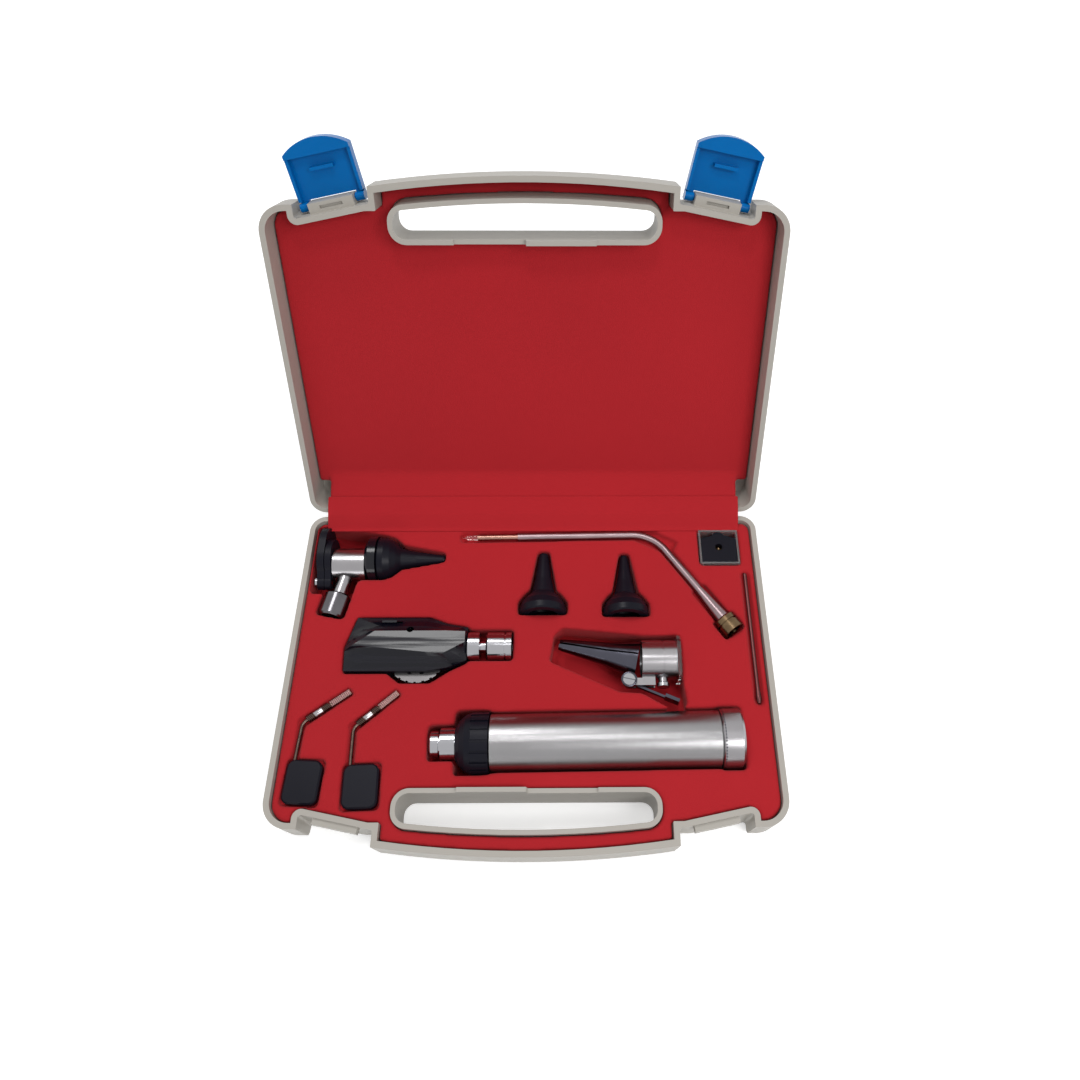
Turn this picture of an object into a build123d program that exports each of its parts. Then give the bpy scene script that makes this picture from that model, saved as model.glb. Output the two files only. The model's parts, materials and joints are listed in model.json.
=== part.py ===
from build123d import *
import os
from math import cos, sin, radians, sqrt, atan2, degrees

# Otoscope set in its open carrying case. Millimetres, +Z up. The origin is the
# centre of the case's underside, +X is the user's right, -Y is the front with
# the carrying grip, and the lid hinge runs along X at the back.
#
# The case is drawn in "case axes": u across, v from the hinge axis towards the
# grip, and w out of the open side, with w = 0 at the parting plane. Base and
# lid share one outline, each on its own plane.

os.makedirs("parts", exist_ok=True)

# ---------------------------------------------------------------- case sizes
CASE_WIDTH = 264.0        # outside, across the case
CASE_LENGTH = 192.0       # hinge axis to the middle of the grip's front
BASE_DEPTH = 26.0         # parting plane to the underside
LID_DEPTH = 20.0
LID_ANGLE = 118.0         # how far the lid stands open
SHELL_WALL = 3.0
SHELL_FLOOR = 2.0
SHELL_DRAFT = 1.0         # how much narrower each half is at its outside face
EDGE_ROUND = 4.0
PARTING_GAP = 0.3         # between the closed rims
SOFT_GAP = 0.4            # foam to plastic
BACK_WALL = 1.4           # hinge axis to the outside of the back wall

HINGE_CORNER_R = 9.0
LOBE_FRONT = 178.5        # front of the corner lobes beside the latches
LOBE_CORNER_R = 14.0
BAY_OUTER = 113.6         # the latch bays lie between these two half widths
BAY_INNER = 76.0
BAY_FOOT = 171.4          # bay wall at its outer end
BAY_RISE = 7.6            # and how much further forward its inner end is
BAY_EDGE_R = 1.8
BAY_CORNER_R = 1.4        # the bay's own corners
GRIP_BOW = 5.0            # how far the grip's front is bowed

SLOT_HALF = 65.6          # finger slot
SLOT_BACK = 161.4
SLOT_FRONT = 179.2
SLOT_BOW = 3.9
SLOT_CORNER_R = 6.3
RING_WALL = 2.4           # wall that rings the finger slot
TAB_HEIGHT = 1.6          # steps on the ring that interlock when closed
TAB_GAP = 0.4
TAB_LENGTH = 36.0         # the base's step lies left of the middle, the lid's right

FOAM_DROP = 2.0           # base foam below the parting plane
LINING_DROP = 12.0        # lid foam below the parting plane
LINING_BACK = 16.0        # where the full width of the lid foam ends
TONGUE_HALF = 121.0       # half width of the flap that slopes to the hinge
TONGUE_THICK = 2.2

PIN_R = 1.4               # hinge pins
KNUCKLE_R = 2.8
KNUCKLE_CLEAR = 0.4
HINGE_OFFSET = 78.0       # centre of each hinge from the middle
KNUCKLE_HALF = 8.0        # half of the base's middle knuckle
KNUCKLE_REACH = 16.0      # hinge centre to the far end of a lid knuckle
KNUCKLE_GAP = 0.4

# -------------------------------------------------------------- latch sizes
LATCH_HALF = 16.6
LATCH_LENGTH = 30.5       # pivot to the tip of the plate
LATCH_PLATE = 2.4
LATCH_ARCH = 5.6          # how much the tip is rounded in plan
LATCH_LIP = 4.2           # how far the tip's thumb grip stands out
LIP_END = 2.0             # the grip's width at its ends
FLANGE_HIGH = 3.4         # stiffening flanges along the plate's sides
FLANGE_THICK = 1.6
LATCH_PIN_R = 1.3
LATCH_PIVOT_OUT = 2.9     # pivot in front of the bay wall
LATCH_PIVOT_DROP = 9.0    # and below the lid's rim
LATCH_BOSS_R = 2.1
BLOCK_HALF = 11.6         # pivot block on the lid, catch block on the base
BLOCK_OUT = 5.0
BLOCK_TOP = 4.0           # pivot block below the lid's rim, near and far side
BLOCK_FOOT = 14.0
BLOCK_SLIT = (11.6, 1.5)  # slit in the pivot block's face
LEG_WIDTH = 4.4
LATCH_GAP = 0.6           # latch to block
CATCH_OUT = 3.0
CATCH_TOP = 1.6           # catch block below the base's rim, top and bottom
CATCH_FOOT = 6.4
HOOK_HALF = 6.0
HOOK_THICK = 1.6
HOOK_REACH = 3.6
HOOK_GAP = 0.4

# ---------------------------------------------------------- how things lie
AXIS_DROP = 6.0           # instrument axes below the parting plane
POCKET_GAP = 0.9          # foam cut-out round an instrument
FLOOR_GAP = 0.3           # foam under an instrument
FIT = 0.05                # running fit on the radius
SEAT_GAP = 0.03           # two pieces seated in each other
RUN_GAP = 0.3             # moving faces that don't guide each other

HINGE_Y = CASE_LENGTH / 2
RIM_Z = BASE_DEPTH
AXIS_Z = RIM_Z - AXIS_DROP
FOAM_TOP = RIM_Z - FOAM_DROP
FOAM_FLOOR = SHELL_FLOOR + FLOOR_GAP

base_case = Plane(origin=(0, HINGE_Y, RIM_Z), x_dir=(-1, 0, 0), z_dir=(0, 0, 1))
lid_case = Plane(
    origin=(0, HINGE_Y, RIM_Z),
    x_dir=(1, 0, 0),
    z_dir=(0, -sin(radians(LID_ANGLE)), -cos(radians(LID_ANGLE))),
)


# ------------------------------------------------------------------ helpers
def save(part, name):
    """Label a finished piece and write its file."""
    part.label = name
    export_step(part, f"parts/{name}.step")


def seat(plane, u, v, w=0.0, turn=0.0):
    """A plane at (u, v, w) of another plane, turned about its normal."""
    spot = plane.from_local_coords(Vector(u, v, w))
    along = plane.x_dir.rotate(Axis((0, 0, 0), plane.z_dir), turn)
    return Plane(origin=spot, x_dir=along, z_dir=plane.z_dir)


def lying(x, v, turn=0.0, height=AXIS_Z):
    """A level plane in the base at (x, v): its X axis is a lying item's axis."""
    return Plane(
        origin=(x, HINGE_Y - v, height),
        x_dir=(cos(radians(turn)), sin(radians(turn)), 0),
        z_dir=(0, 0, 1),
    )


def across(plane, along=0.0):
    """The plane square to a lying item's axis; its axes are (side, up)."""
    spot = plane.from_local_coords(Vector(along, 0, 0))
    return Plane(origin=spot, x_dir=plane.y_dir, z_dir=plane.x_dir)


def block(plane, us, vs, ws, mode=Mode.ADD):
    """A rectangular block between two values along each axis of a plane."""
    with BuildSketch(plane.offset(ws[0])) as foot:
        with Locations(((us[0] + us[1]) / 2, (vs[0] + vs[1]) / 2)):
            Rectangle(us[1] - us[0], vs[1] - vs[0])
    extrude(foot.sketch, amount=ws[1] - ws[0], mode=mode)


def disc(plane, radius, ws, centre=(0, 0), mode=Mode.ADD):
    """A round disc or post between two heights of a plane."""
    with BuildSketch(plane.offset(ws[0])) as foot:
        with Locations(centre):
            Circle(radius)
    extrude(foot.sketch, amount=ws[1] - ws[0], mode=mode)


def turned(plane, outline, mode=Mode.ADD, arc=360.0):
    """A half outline of (along, radius) points, turned about the plane's X."""
    with BuildSketch(plane) as half:
        with BuildLine():
            Polyline(*outline, close=True)
        make_face()
    revolve(half.sketch, axis=Axis(plane.origin, plane.x_dir), revolution_arc=arc, mode=mode)


def pocket(plane, us, vs, depth, gap=POCKET_GAP):
    """A cut-out in the base foam for an item that reaches depth below its axis."""
    foot = max(plane.origin.Z - depth - FLOOR_GAP, FOAM_FLOOR + FLOOR_GAP)
    level = Plane(
        origin=(plane.origin.X, plane.origin.Y, foot),
        x_dir=plane.x_dir,
        z_dir=(0, 0, 1),
    )
    us = (us[0] - gap, us[1] + gap)
    vs = (vs[0] - gap, vs[1] + gap)
    block(level, us, vs, (0, RIM_Z - foot), mode=Mode.SUBTRACT)


def pocket_shape(plane, outline, depth, gap=POCKET_GAP):
    """A cut-out in the base foam with its own outline."""
    foot = max(plane.origin.Z - depth - FLOOR_GAP, FOAM_FLOOR + FLOOR_GAP)
    level = Plane(
        origin=(plane.origin.X, plane.origin.Y, foot),
        x_dir=plane.x_dir,
        z_dir=(0, 0, 1),
    )
    with BuildSketch(level) as plan:
        with BuildLine():
            Polyline(*outline, close=True)
        make_face()
        offset(amount=gap, kind=Kind.INTERSECTION)
    extrude(plan.sketch, amount=RIM_Z - foot, mode=Mode.SUBTRACT)


def leg_length(start, end):
    """Distance between two (across, along) points."""
    return sqrt((end[0] - start[0]) ** 2 + (end[1] - start[1]) ** 2)


def leg_turn(start, end):
    """Direction from one (x, v) point to another, in degrees from +X."""
    return degrees(atan2(start[1] - end[1], end[0] - start[0]))


# -------------------------------------------------------------- case shells
BAY_SLOPE = BAY_RISE / (BAY_OUTER - BAY_INNER)
BAY_TURN = degrees(atan2(BAY_RISE, BAY_OUTER - BAY_INNER))
BAY_MID = (BAY_OUTER + BAY_INNER) / 2


def case_outline(plane, inset=0.0):
    """The case's plan without its latch bays, moved inwards by inset."""
    half = CASE_WIDTH / 2 - inset
    back = BACK_WALL + inset
    lobe = LOBE_FRONT - inset
    inner = BAY_INNER - inset
    right = [(0, back), (half, back), (half, lobe), (inner, lobe)]
    right += [(inner, CASE_LENGTH - GRIP_BOW - inset)]
    left = [(-u, v) for u, v in reversed(right)]
    radii = [max(r - inset, 0.5) for r in (HINGE_CORNER_R, LOBE_CORNER_R, BAY_EDGE_R)]
    with BuildSketch(plane) as outline:
        with BuildLine():
            FilletPolyline(*right, radius=radii)
            ThreePointArc(right[-1], (0, CASE_LENGTH - inset), left[0])
            FilletPolyline(*left, radius=radii[::-1])
        make_face()
    return outline.sketch


def bay_outline(plane, side, grow=0.0):
    """The plan of one latch bay, open to the front and moved outwards by grow."""
    outer, inner = side * (BAY_OUTER + grow), side * (BAY_INNER - grow)
    foot = BAY_FOOT - grow * (1 + BAY_SLOPE)
    corners = [(outer, foot), (inner, foot + BAY_RISE + 2 * grow * BAY_SLOPE)]
    ends = [(outer, 2 * LOBE_FRONT), (inner, 2 * LOBE_FRONT)]
    with BuildSketch(plane) as outline:
        with BuildLine():
            FilletPolyline(ends[0], *corners, ends[1], radius=BAY_CORNER_R + grow)
            Line(ends[1], ends[0])
        make_face()
    return outline.sketch


def slot_outline(plane, grow=0.0):
    """The finger slot's plan, moved outwards by grow."""
    half = SLOT_HALF + grow
    back = SLOT_BACK - grow
    front = SLOT_FRONT + grow
    shoulder = front - SLOT_BOW
    with BuildSketch(plane) as outline:
        with BuildLine():
            Polyline((half, shoulder), (half, back), (-half, back), (-half, shoulder))
            ThreePointArc((half, shoulder), (0, front), (-half, shoulder))
        make_face()
        fillet(outline.vertices(), radius=SLOT_CORNER_R + grow)
    return outline.sketch


def core(plane, inset, amount, slant):
    """What fills one half inside its walls, from a plane down by amount."""
    with BuildPart() as filling:
        extrude(case_outline(plane, inset), amount=-amount, taper=slant)
        for side in (-1, 1):
            extrude(bay_outline(plane, side, inset), amount=-amount, mode=Mode.SUBTRACT)
    return filling.part


def case_half(plane, depth):
    """One moulded half: outside, hollow, finger slot and the ring round it."""
    rim = plane.offset(-PARTING_GAP / 2)
    deep = depth - PARTING_GAP / 2
    slant = degrees(atan2(SHELL_DRAFT, depth))
    extrude(case_outline(rim), amount=-deep, taper=slant)
    underside = faces().sort_by(Axis(plane.origin, plane.z_dir))[0]
    fillet(underside.edges(), radius=EDGE_ROUND)
    for side in (-1, 1):
        extrude(bay_outline(rim, side), amount=-deep, mode=Mode.SUBTRACT)
    add(core(rim, SHELL_WALL, deep - SHELL_FLOOR, slant), mode=Mode.SUBTRACT)
    extrude(slot_outline(rim, RING_WALL), amount=-deep)
    extrude(slot_outline(rim), amount=-deep, mode=Mode.SUBTRACT)


def knuckles(plane, own, other):
    """Hinge knuckles at own spans along X, and room for the other half's."""
    for centre in (-HINGE_OFFSET, HINGE_OFFSET):
        hinge = across(plane, centre)
        for span in other:
            disc(hinge, KNUCKLE_R + KNUCKLE_CLEAR, span, mode=Mode.SUBTRACT)
        for span in own:
            disc(hinge, KNUCKLE_R, span)
            us = (centre + span[0], centre + span[1])
            block(plane, us, (0, BACK_WALL + SHELL_WALL / 2), (-KNUCKLE_R, -PARTING_GAP / 2))
            disc(hinge, PIN_R + FIT, span, mode=Mode.SUBTRACT)


def ring_tab(plane, raised, sunk):
    """A step on the back of the slot ring, and the room for the other half's."""
    vs = (SLOT_BACK - RING_WALL, SLOT_BACK)
    block(plane, sunk, vs, (-TAB_HEIGHT - TAB_GAP / 2, 0), mode=Mode.SUBTRACT)
    block(plane, raised, vs, (-TAB_HEIGHT, TAB_HEIGHT))


def bay(plane, side, out=0.0, w=0.0):
    """The plane of a latch bay: X along its wall, Y outwards, Z as the case's."""
    wall = seat(plane, side * BAY_MID, BAY_FOOT + BAY_RISE / 2, 0, -side * BAY_TURN)
    return seat(wall, 0, out, w)


middle = KNUCKLE_HALF
reach = KNUCKLE_REACH
base_spans = [(-middle, middle)]
lid_spans = [(-reach, -middle - KNUCKLE_GAP), (middle + KNUCKLE_GAP, reach)]
base_rooms = [(-reach - KNUCKLE_GAP, -middle), (middle, reach + KNUCKLE_GAP)]
lid_rooms = [(-middle - KNUCKLE_GAP, middle + KNUCKLE_GAP)]

# --------------------------------------------------------------------- case
with BuildPart() as base_shell:
    case_half(base_case, BASE_DEPTH)
    knuckles(base_case, base_spans, base_rooms)
    ring_tab(base_case, (TAB_GAP, TAB_LENGTH - TAB_GAP), (-TAB_LENGTH, 0))
    for side in (-1, 1):
        catch = bay(base_case, side)
        block(catch, (-BLOCK_HALF, BLOCK_HALF), (-SHELL_WALL / 2, CATCH_OUT), (-CATCH_FOOT, -CATCH_TOP))
save(base_shell.part, "base_shell")

with BuildPart() as lid_shell:
    case_half(lid_case, LID_DEPTH)
    knuckles(lid_case, lid_spans, lid_rooms)
    ring_tab(lid_case, (TAB_GAP, TAB_LENGTH - TAB_GAP), (-TAB_LENGTH, 0))
    for side in (-1, 1):
        wall = bay(lid_case, side)
        block(wall, (-BLOCK_HALF, BLOCK_HALF), (-SHELL_WALL / 2, BLOCK_OUT), (-BLOCK_FOOT, -BLOCK_TOP))
        slit = (BLOCK_SLIT[0] / 2, (BLOCK_OUT - BLOCK_SLIT[1]) / 2, (BLOCK_OUT + BLOCK_SLIT[1]) / 2)
        block(wall, (-slit[0], slit[0]), slit[1:], (-BLOCK_TOP - 1.4, -BLOCK_TOP), mode=Mode.SUBTRACT)
        pivot = across(bay(lid_case, side, LATCH_PIVOT_OUT, -LATCH_PIVOT_DROP))
        disc(pivot, LATCH_PIN_R + FIT, (-BLOCK_HALF, BLOCK_HALF), mode=Mode.SUBTRACT)
save(lid_shell.part, "lid_shell")

with BuildPart() as hinge_pins:
    for centre in (-HINGE_OFFSET, HINGE_OFFSET):
        disc(across(base_case, centre), PIN_R, (-KNUCKLE_REACH, KNUCKLE_REACH))
save(hinge_pins.part, "hinge_pins")


def latch(side):
    """A snap latch, hinged on the lid's block and standing open."""
    pivot = bay(lid_case, side, LATCH_PIVOT_OUT, -LATCH_PIVOT_DROP)
    near = -(BLOCK_OUT + LATCH_GAP - LATCH_PIVOT_OUT)
    far = near - LATCH_PLATE
    leg = BLOCK_HALF + LATCH_GAP
    hook = CATCH_FOOT + LATCH_PIVOT_DROP + HOOK_GAP
    shoulder = LATCH_LENGTH - LATCH_ARCH
    with BuildPart() as piece:
        # The plate, and its thumb grip between a straight edge and the arched tip.
        for start, amount in ((-near, LATCH_PLATE), (shoulder - LIP_END, LATCH_PLATE + LATCH_LIP)):
            with BuildSketch(pivot.offset(far)) as plan:
                with BuildLine():
                    Polyline((LATCH_HALF, shoulder), (LATCH_HALF, start), (-LATCH_HALF, start),
                             (-LATCH_HALF, shoulder))
                    ThreePointArc((LATCH_HALF, shoulder), (0, LATCH_LENGTH), (-LATCH_HALF, shoulder))
                make_face()
            extrude(plan.sketch, amount=amount)
        for hand in (-1, 1):
            legs = sorted((hand * leg, hand * (leg + LEG_WIDTH)))
            block(pivot, legs, (-LATCH_BOSS_R, 1 - near), (far, near))
            block(pivot, legs, (-LATCH_BOSS_R, LATCH_BOSS_R), (near - 0.5, 0))
            disc(across(pivot), LATCH_BOSS_R, legs)
            flange = sorted((hand * LATCH_HALF, hand * (LATCH_HALF - FLANGE_THICK)))
            block(pivot, flange, (-near, shoulder), (far, near + FLANGE_HIGH))
        block(pivot, (-HOOK_HALF, HOOK_HALF), (hook, hook + HOOK_THICK), (far, near + HOOK_REACH))
        disc(across(pivot), LATCH_PIN_R, (-leg - 1, leg + 1))
    return piece.part


save(latch(-1), "latch_left")
save(latch(1), "latch_right")

# -------------------------------------------------------- otoscope head sizes
# Its optical axis lies along X and the ear tip points to the right. Distances
# run along the axis from the outside of the viewing window.
OTO_X, OTO_V = -123.6, 27.3
WINDOW_THICK = 4.0
WINDOW_R = 12.5           # rounded ends of the window frame
WINDOW_STRETCH = 7.0      # how much longer than wide its head is
WINDOW_PIVOT = -14.6      # pivot beside the optical axis
PIVOT_LOBE_R = 4.4
LENS_R = 9.0
LENS_THICK = 2.0
PIVOT_PIN_R = 1.5
BACK_PLATE_R = 12.0
BACK_PLATE_THICK = 3.4
BARREL_R = 9.6
BARREL_WALL = 2.2
BARREL_SHIFT = -3.3       # the barrel sits to the neck's side of the optical axis
BARREL_LENGTH = 19.0
NOSE_R = 13.6
SPECULUM_WALL = 0.8
SPECULUM_TIP_R = 2.4
OTO_LENGTH = 71.8         # window to the ear tip
NECK_TURN = -101.5        # the neck's direction
NECK_R = 4.0
SOCKET_R = 7.5            # instrument socket that takes the handle
SOCKET_LENGTH = 14.0
SOCKET_BORE_R = 5.4
NECK_START = (15.0, -11.6)
NECK_LENGTH = 11.4

plate_start = WINDOW_THICK + RUN_GAP
barrel_start = plate_start + BACK_PLATE_THICK
nose_start = barrel_start + BARREL_LENGTH
speculum_start = nose_start + 6.8
sight = lying(OTO_X, OTO_V)
barrel_axis = seat(sight, 0, BARREL_SHIFT)
oto_neck = seat(sight, *NECK_START, 0, NECK_TURN)
WINDOW_TOP = WINDOW_STRETCH + WINDOW_R

# ------------------------------------------------------------- handle sizes
GRIP_X, GRIP_V, GRIP_TURN = -51.9, 135.6, 0.8
GRIP_BED = 4.0            # the widest part of the handle above the underside
SPIGOT_R = 7.1            # ring that the heads push onto
SPIGOT_LENGTH = 5.0
STEP_R = 8.6
COLLAR_START = 14.1
COLLAR_LENGTH = 17.4
COLLAR_R = 16.0
GRIP_R = 15.0             # handle tube
GRIP_BORE_R = 13.5
GRIP_LENGTH = 120.4
END_CAP_R = 15.8
END_CAP_LENGTH = 11.2
CELL_R = 13.1             # two C cells
CELL_LENGTH = 50.0
CELL_START = 42.0
RIB_COUNT = 18

collar_end = COLLAR_START + COLLAR_LENGTH
tube_start = collar_end + RUN_GAP
tube_end = tube_start + GRIP_LENGTH
cap_start = tube_end + RUN_GAP
grip = lying(GRIP_X, GRIP_V, GRIP_TURN, GRIP_BED + max(COLLAR_R, GRIP_R, END_CAP_R))
HANDLE_LENGTH = cap_start + END_CAP_LENGTH

# ----------------------------------------------------- ophthalmoscope sizes
# It lies face up, its socket to the right.
EYE_X, EYE_V = -102.0, 81.6
HEAD_LENGTH = 67.0
HEAD_HALF = 15.5
HEAD_THICK = 24.0
HEAD_NECK_HALF = 9.6
HEAD_TAPER_START = 45.5
HEAD_SHOULDER = 5.0       # height where the cover starts to slope in to its ridge
HEAD_CHAMFER = 3.6
RIDGE_BACK = 5.0          # the ridge's flat top lies between these two
RIDGE_FRONT = -8.2
DIAL_AT = (39.4, -4.0)
DIAL_R = 17.0
DIAL_THICK = 3.0
DIAL_ROOM = 0.5
DIAL_LENSES = 10
DIAL_PITCH_R = 10.6
DIAL_LENS_R = 2.0
DIAL_TEETH = 24
SIGHT_R = 2.0
SIGHT_TURN = 108.0        # the sight hole's place round the dial
BROW_R = 6.0
SELECTOR_AT = (19.8, 11.7)
SELECTOR_LENGTH = 8.0
SELECTOR_TRAVEL = 3.0
SELECTOR_FOOT = 3.4
SELECTOR_HALF = 0.6
NECK_RING_R = 8.3
NECK_RING_LENGTH = 6.8
EYE_SOCKET_R = 8.2
EYE_SOCKET_START = 77.4
EYE_SOCKET_LENGTH = 14.0

eye_head = lying(EYE_X, EYE_V)
dial_plane = seat(eye_head, *DIAL_AT)
sight_hole = (
    DIAL_AT[0] + DIAL_PITCH_R * cos(radians(SIGHT_TURN)),
    DIAL_AT[1] + DIAL_PITCH_R * sin(radians(SIGHT_TURN)),
)

# ---------------------------------------------------- nasal speculum sizes
# It points to the left; distances run from its viewing lens.
NOSE_X, NOSE_V = 82.0, 89.6
NASAL_BARREL_R = 11.0
NASAL_BARREL_LENGTH = 21.0
NASAL_WALL = 1.6
BLADE_TURN = 12.0         # the blades point a little towards the hinge
BLADE_LENGTH = 44.0
BLADE_ROOT_R = 10.4
BLADE_TIP_R = 3.4
BLADE_WALL = 1.2
BLADE_PARTING = 0.5       # half of the gap between the closed blades
BLADE_OPEN = 10.0         # how far the front blade swings out
BLADE_PIVOT = (2.4, 13.6) # the front blade's pin, from the middle of its root
EAR_R = 2.4
EAR_HALF = 1.3            # half of the ear's height
LUG_THICK = 1.6
PIVOT_SCREW_R = 1.2
THUMB_R = 4.2
THUMB_HEIGHT = 2.6
LEVER_LENGTH = 29.0
LEVER_TURN = 157.0
LEVER_HALF = 0.6
NASAL_NECK_AT = 9.5
NASAL_NECK_R = 2.6
NASAL_NECK_END = 13.0

nasal = lying(NOSE_X, NOSE_V, 180)
blade_start = NASAL_BARREL_LENGTH + BLADE_ROOT_R * sin(radians(BLADE_TURN)) + SEAT_GAP
blades = seat(nasal, blade_start, 0, 0, -BLADE_TURN)
blade_pivot = seat(blades, *BLADE_PIVOT)
pivot_x, pivot_y, _ = nasal.to_local_coords(blade_pivot.origin)
lever = seat(nasal, pivot_x, pivot_y, 0, LEVER_TURN)
# Where the front blade's tip gets to when it swings fully out.
swung = seat(blade_pivot, 0, 0, 0, BLADE_OPEN)
swung_tip = swung.from_local_coords(Vector(BLADE_LENGTH - BLADE_PIVOT[0], BLADE_TIP_R - BLADE_PIVOT[1], 0))
swung_x, swung_y, _ = nasal.to_local_coords(swung_tip)

# ------------------------------------------------------ smaller items sizes
SPARE_AT = ((6.3, 63.0, 13.2, 2.7), (53.4, 64.2, 12.8, 2.2))
SPARE_LENGTH = 38.5
SPARE_TURN = 90.0

ARM_TIP = (-42.1, 14.6)
ARM_ELBOW = (70.6, 12.6)
ARM_END = (108.0, 66.0)
ARM_BEND_R = 24.0
ARM_R = 2.3
ARM_FLARE_R = 4.0
ARM_DROP = 3.0            # thin instruments' axes below the parting plane
ARM_SLEEVE_R = 1.7
ARM_SLEEVE_LENGTH = 24.0
ARM_LAMP_LENGTH = 9.0
ARM_PLUG_R = 6.2
ARM_PLUG_LENGTH = 9.5

MIRROR_AT = ((-114.6, 155.4, -3.0), (-84.8, 157.6, 2.0))
MIRROR_WIDTH = 18.0
MIRROR_LENGTH = 22.0
MIRROR_THICK = 5.0
MIRROR_CORNER_R = 4.0
MIRROR_DROP = 3.6
MIRROR_WIRE_R = 0.9
MIRROR_BEND_R = 6.0
MIRROR_CLIP = 11.0
# The stem's wire, from the middle of the cup: out of its edge, up and across.
MIRROR_ROUTE = ((-6.4, 11.0), (-6.4, 30.5), (7.2, 41.6))

BOX_AT = (109.3, 21.6)
BOX_SIZE = (23.0, 22.0, 13.0)
BOX_WALL = 1.0
BOX_PROUD = 1.0

ROD_AT = (123.0, 76.8)
ROD_LENGTH = 77.0
ROD_R = 1.1

# ------------------------------------------------------------ otoscope head
with BuildPart() as window_frame:
    with BuildSketch(across(sight)):
        with Locations((WINDOW_STRETCH / 2, 0)):
            SlotCenterToCenter(WINDOW_STRETCH, 2 * WINDOW_R)
        with Locations((WINDOW_PIVOT, 0)):
            Circle(PIVOT_LOBE_R)
        with BuildLine():
            Polyline((0, WINDOW_R), (WINDOW_PIVOT, PIVOT_LOBE_R), (WINDOW_PIVOT, -PIVOT_LOBE_R),
                     (0, -WINDOW_R), close=True)
        make_face()
        Circle(LENS_R - 1, mode=Mode.SUBTRACT)
        with Locations((WINDOW_PIVOT, 0)):
            Circle(PIVOT_PIN_R + FIT, mode=Mode.SUBTRACT)
    extrude(amount=WINDOW_THICK)
    disc(across(sight), LENS_R + SEAT_GAP, (0.8, 0.8 + LENS_THICK + 2 * SEAT_GAP), mode=Mode.SUBTRACT)
save(window_frame.part, "window_frame")

with BuildPart() as window_lens:
    disc(across(sight), LENS_R, (0.8 + SEAT_GAP, 0.8 + SEAT_GAP + LENS_THICK))
save(window_lens.part, "window_lens")

with BuildPart() as back_plate:
    with BuildSketch(across(sight, plate_start)):
        Circle(BACK_PLATE_R)
        with Locations((WINDOW_PIVOT, 0)):
            Circle(PIVOT_LOBE_R)
        with BuildLine():
            Polyline((0, BACK_PLATE_R), (WINDOW_PIVOT, PIVOT_LOBE_R), (WINDOW_PIVOT, -PIVOT_LOBE_R),
                     (0, -BACK_PLATE_R), close=True)
        make_face()
        Circle(BARREL_R - BARREL_WALL - 1, mode=Mode.SUBTRACT)
        with Locations((WINDOW_PIVOT, 0)):
            Circle(PIVOT_PIN_R + SEAT_GAP, mode=Mode.SUBTRACT)
    extrude(amount=BACK_PLATE_THICK)
save(back_plate.part, "otoscope_back_plate")

with BuildPart() as window_pin:
    spot = (WINDOW_PIVOT, 0)
    disc(across(sight), PIVOT_PIN_R, (-RUN_GAP, barrel_start), spot)
    disc(across(sight), 2 * PIVOT_PIN_R, (-RUN_GAP - 1.2, -RUN_GAP), spot)
save(window_pin.part, "window_pivot_pin")

with BuildPart() as barrel:
    turned(barrel_axis, [
        (barrel_start, 0), (barrel_start, BARREL_R - 0.6), (barrel_start + 0.6, BARREL_R),
        (nose_start, BARREL_R), (nose_start, 0),
    ])
    disc(across(oto_neck), NECK_R, (0, NECK_LENGTH))
    disc(across(barrel_axis), BARREL_R - BARREL_WALL, (barrel_start, nose_start), mode=Mode.SUBTRACT)
    disc(across(oto_neck), SOCKET_BORE_R / 2, (-4, NECK_LENGTH), mode=Mode.SUBTRACT)
save(barrel.part, "otoscope_barrel")

with BuildPart() as oto_socket:
    turned(oto_neck, [
        (NECK_LENGTH, 0), (NECK_LENGTH, SOCKET_R - 1.2), (NECK_LENGTH + 1.2, SOCKET_R),
        (NECK_LENGTH + SOCKET_LENGTH - 1, SOCKET_R), (NECK_LENGTH + SOCKET_LENGTH, SOCKET_R - 1),
        (NECK_LENGTH + SOCKET_LENGTH, SOCKET_BORE_R), (NECK_LENGTH + 3, SOCKET_BORE_R),
        (NECK_LENGTH + 3, 0),
    ])
    disc(across(oto_neck), SOCKET_BORE_R / 2, (NECK_LENGTH, NECK_LENGTH + 3), mode=Mode.SUBTRACT)
save(oto_socket.part, "otoscope_socket")

with BuildPart() as oto_bulb:
    turned(oto_neck, [
        (1.0, 0), (2.0, 1.4), (6.0, 1.8), (6.0, SOCKET_BORE_R / 2 - SEAT_GAP),
        (NECK_LENGTH + 4, SOCKET_BORE_R / 2 - SEAT_GAP), (NECK_LENGTH + 4, 0),
    ])
save(oto_bulb.part, "otoscope_bulb")

cone_start = speculum_start + 7.0
with BuildPart() as nose:
    inner_tip = SPECULUM_TIP_R - SPECULUM_WALL
    turned(sight, [
        (nose_start, 5.0), (nose_start, NOSE_R - 2.5), (nose_start + 2.0, NOSE_R),
        (speculum_start - RUN_GAP, NOSE_R), (speculum_start - RUN_GAP, 8.0),
        (cone_start, 6.0), (OTO_LENGTH - 14, inner_tip + 0.9), (OTO_LENGTH - 14, inner_tip - 0.2),
    ])
save(nose.part, "speculum_carrier")


def speculum(plane, base_r, tip_r, start, length, throat):
    """A hollow ear speculum: a rounded skirt and a long tapered tip."""
    waist = base_r * 0.5
    wall = SPECULUM_WALL
    turned(plane, [
        (start, throat), (start, base_r - 0.8), (start + 0.8, base_r), (start + 4.0, base_r),
        (start + 7.6, base_r * 0.9), (start + 10.6, base_r * 0.72), (start + 13.4, waist),
        (start + 22.0, waist - (waist - tip_r) * 0.45), (start + length - 0.8, tip_r),
        (start + length, tip_r - 0.3), (start + length, tip_r - wall),
        (start + 13.4, waist - wall), (start + 6.0, throat),
    ])


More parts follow.
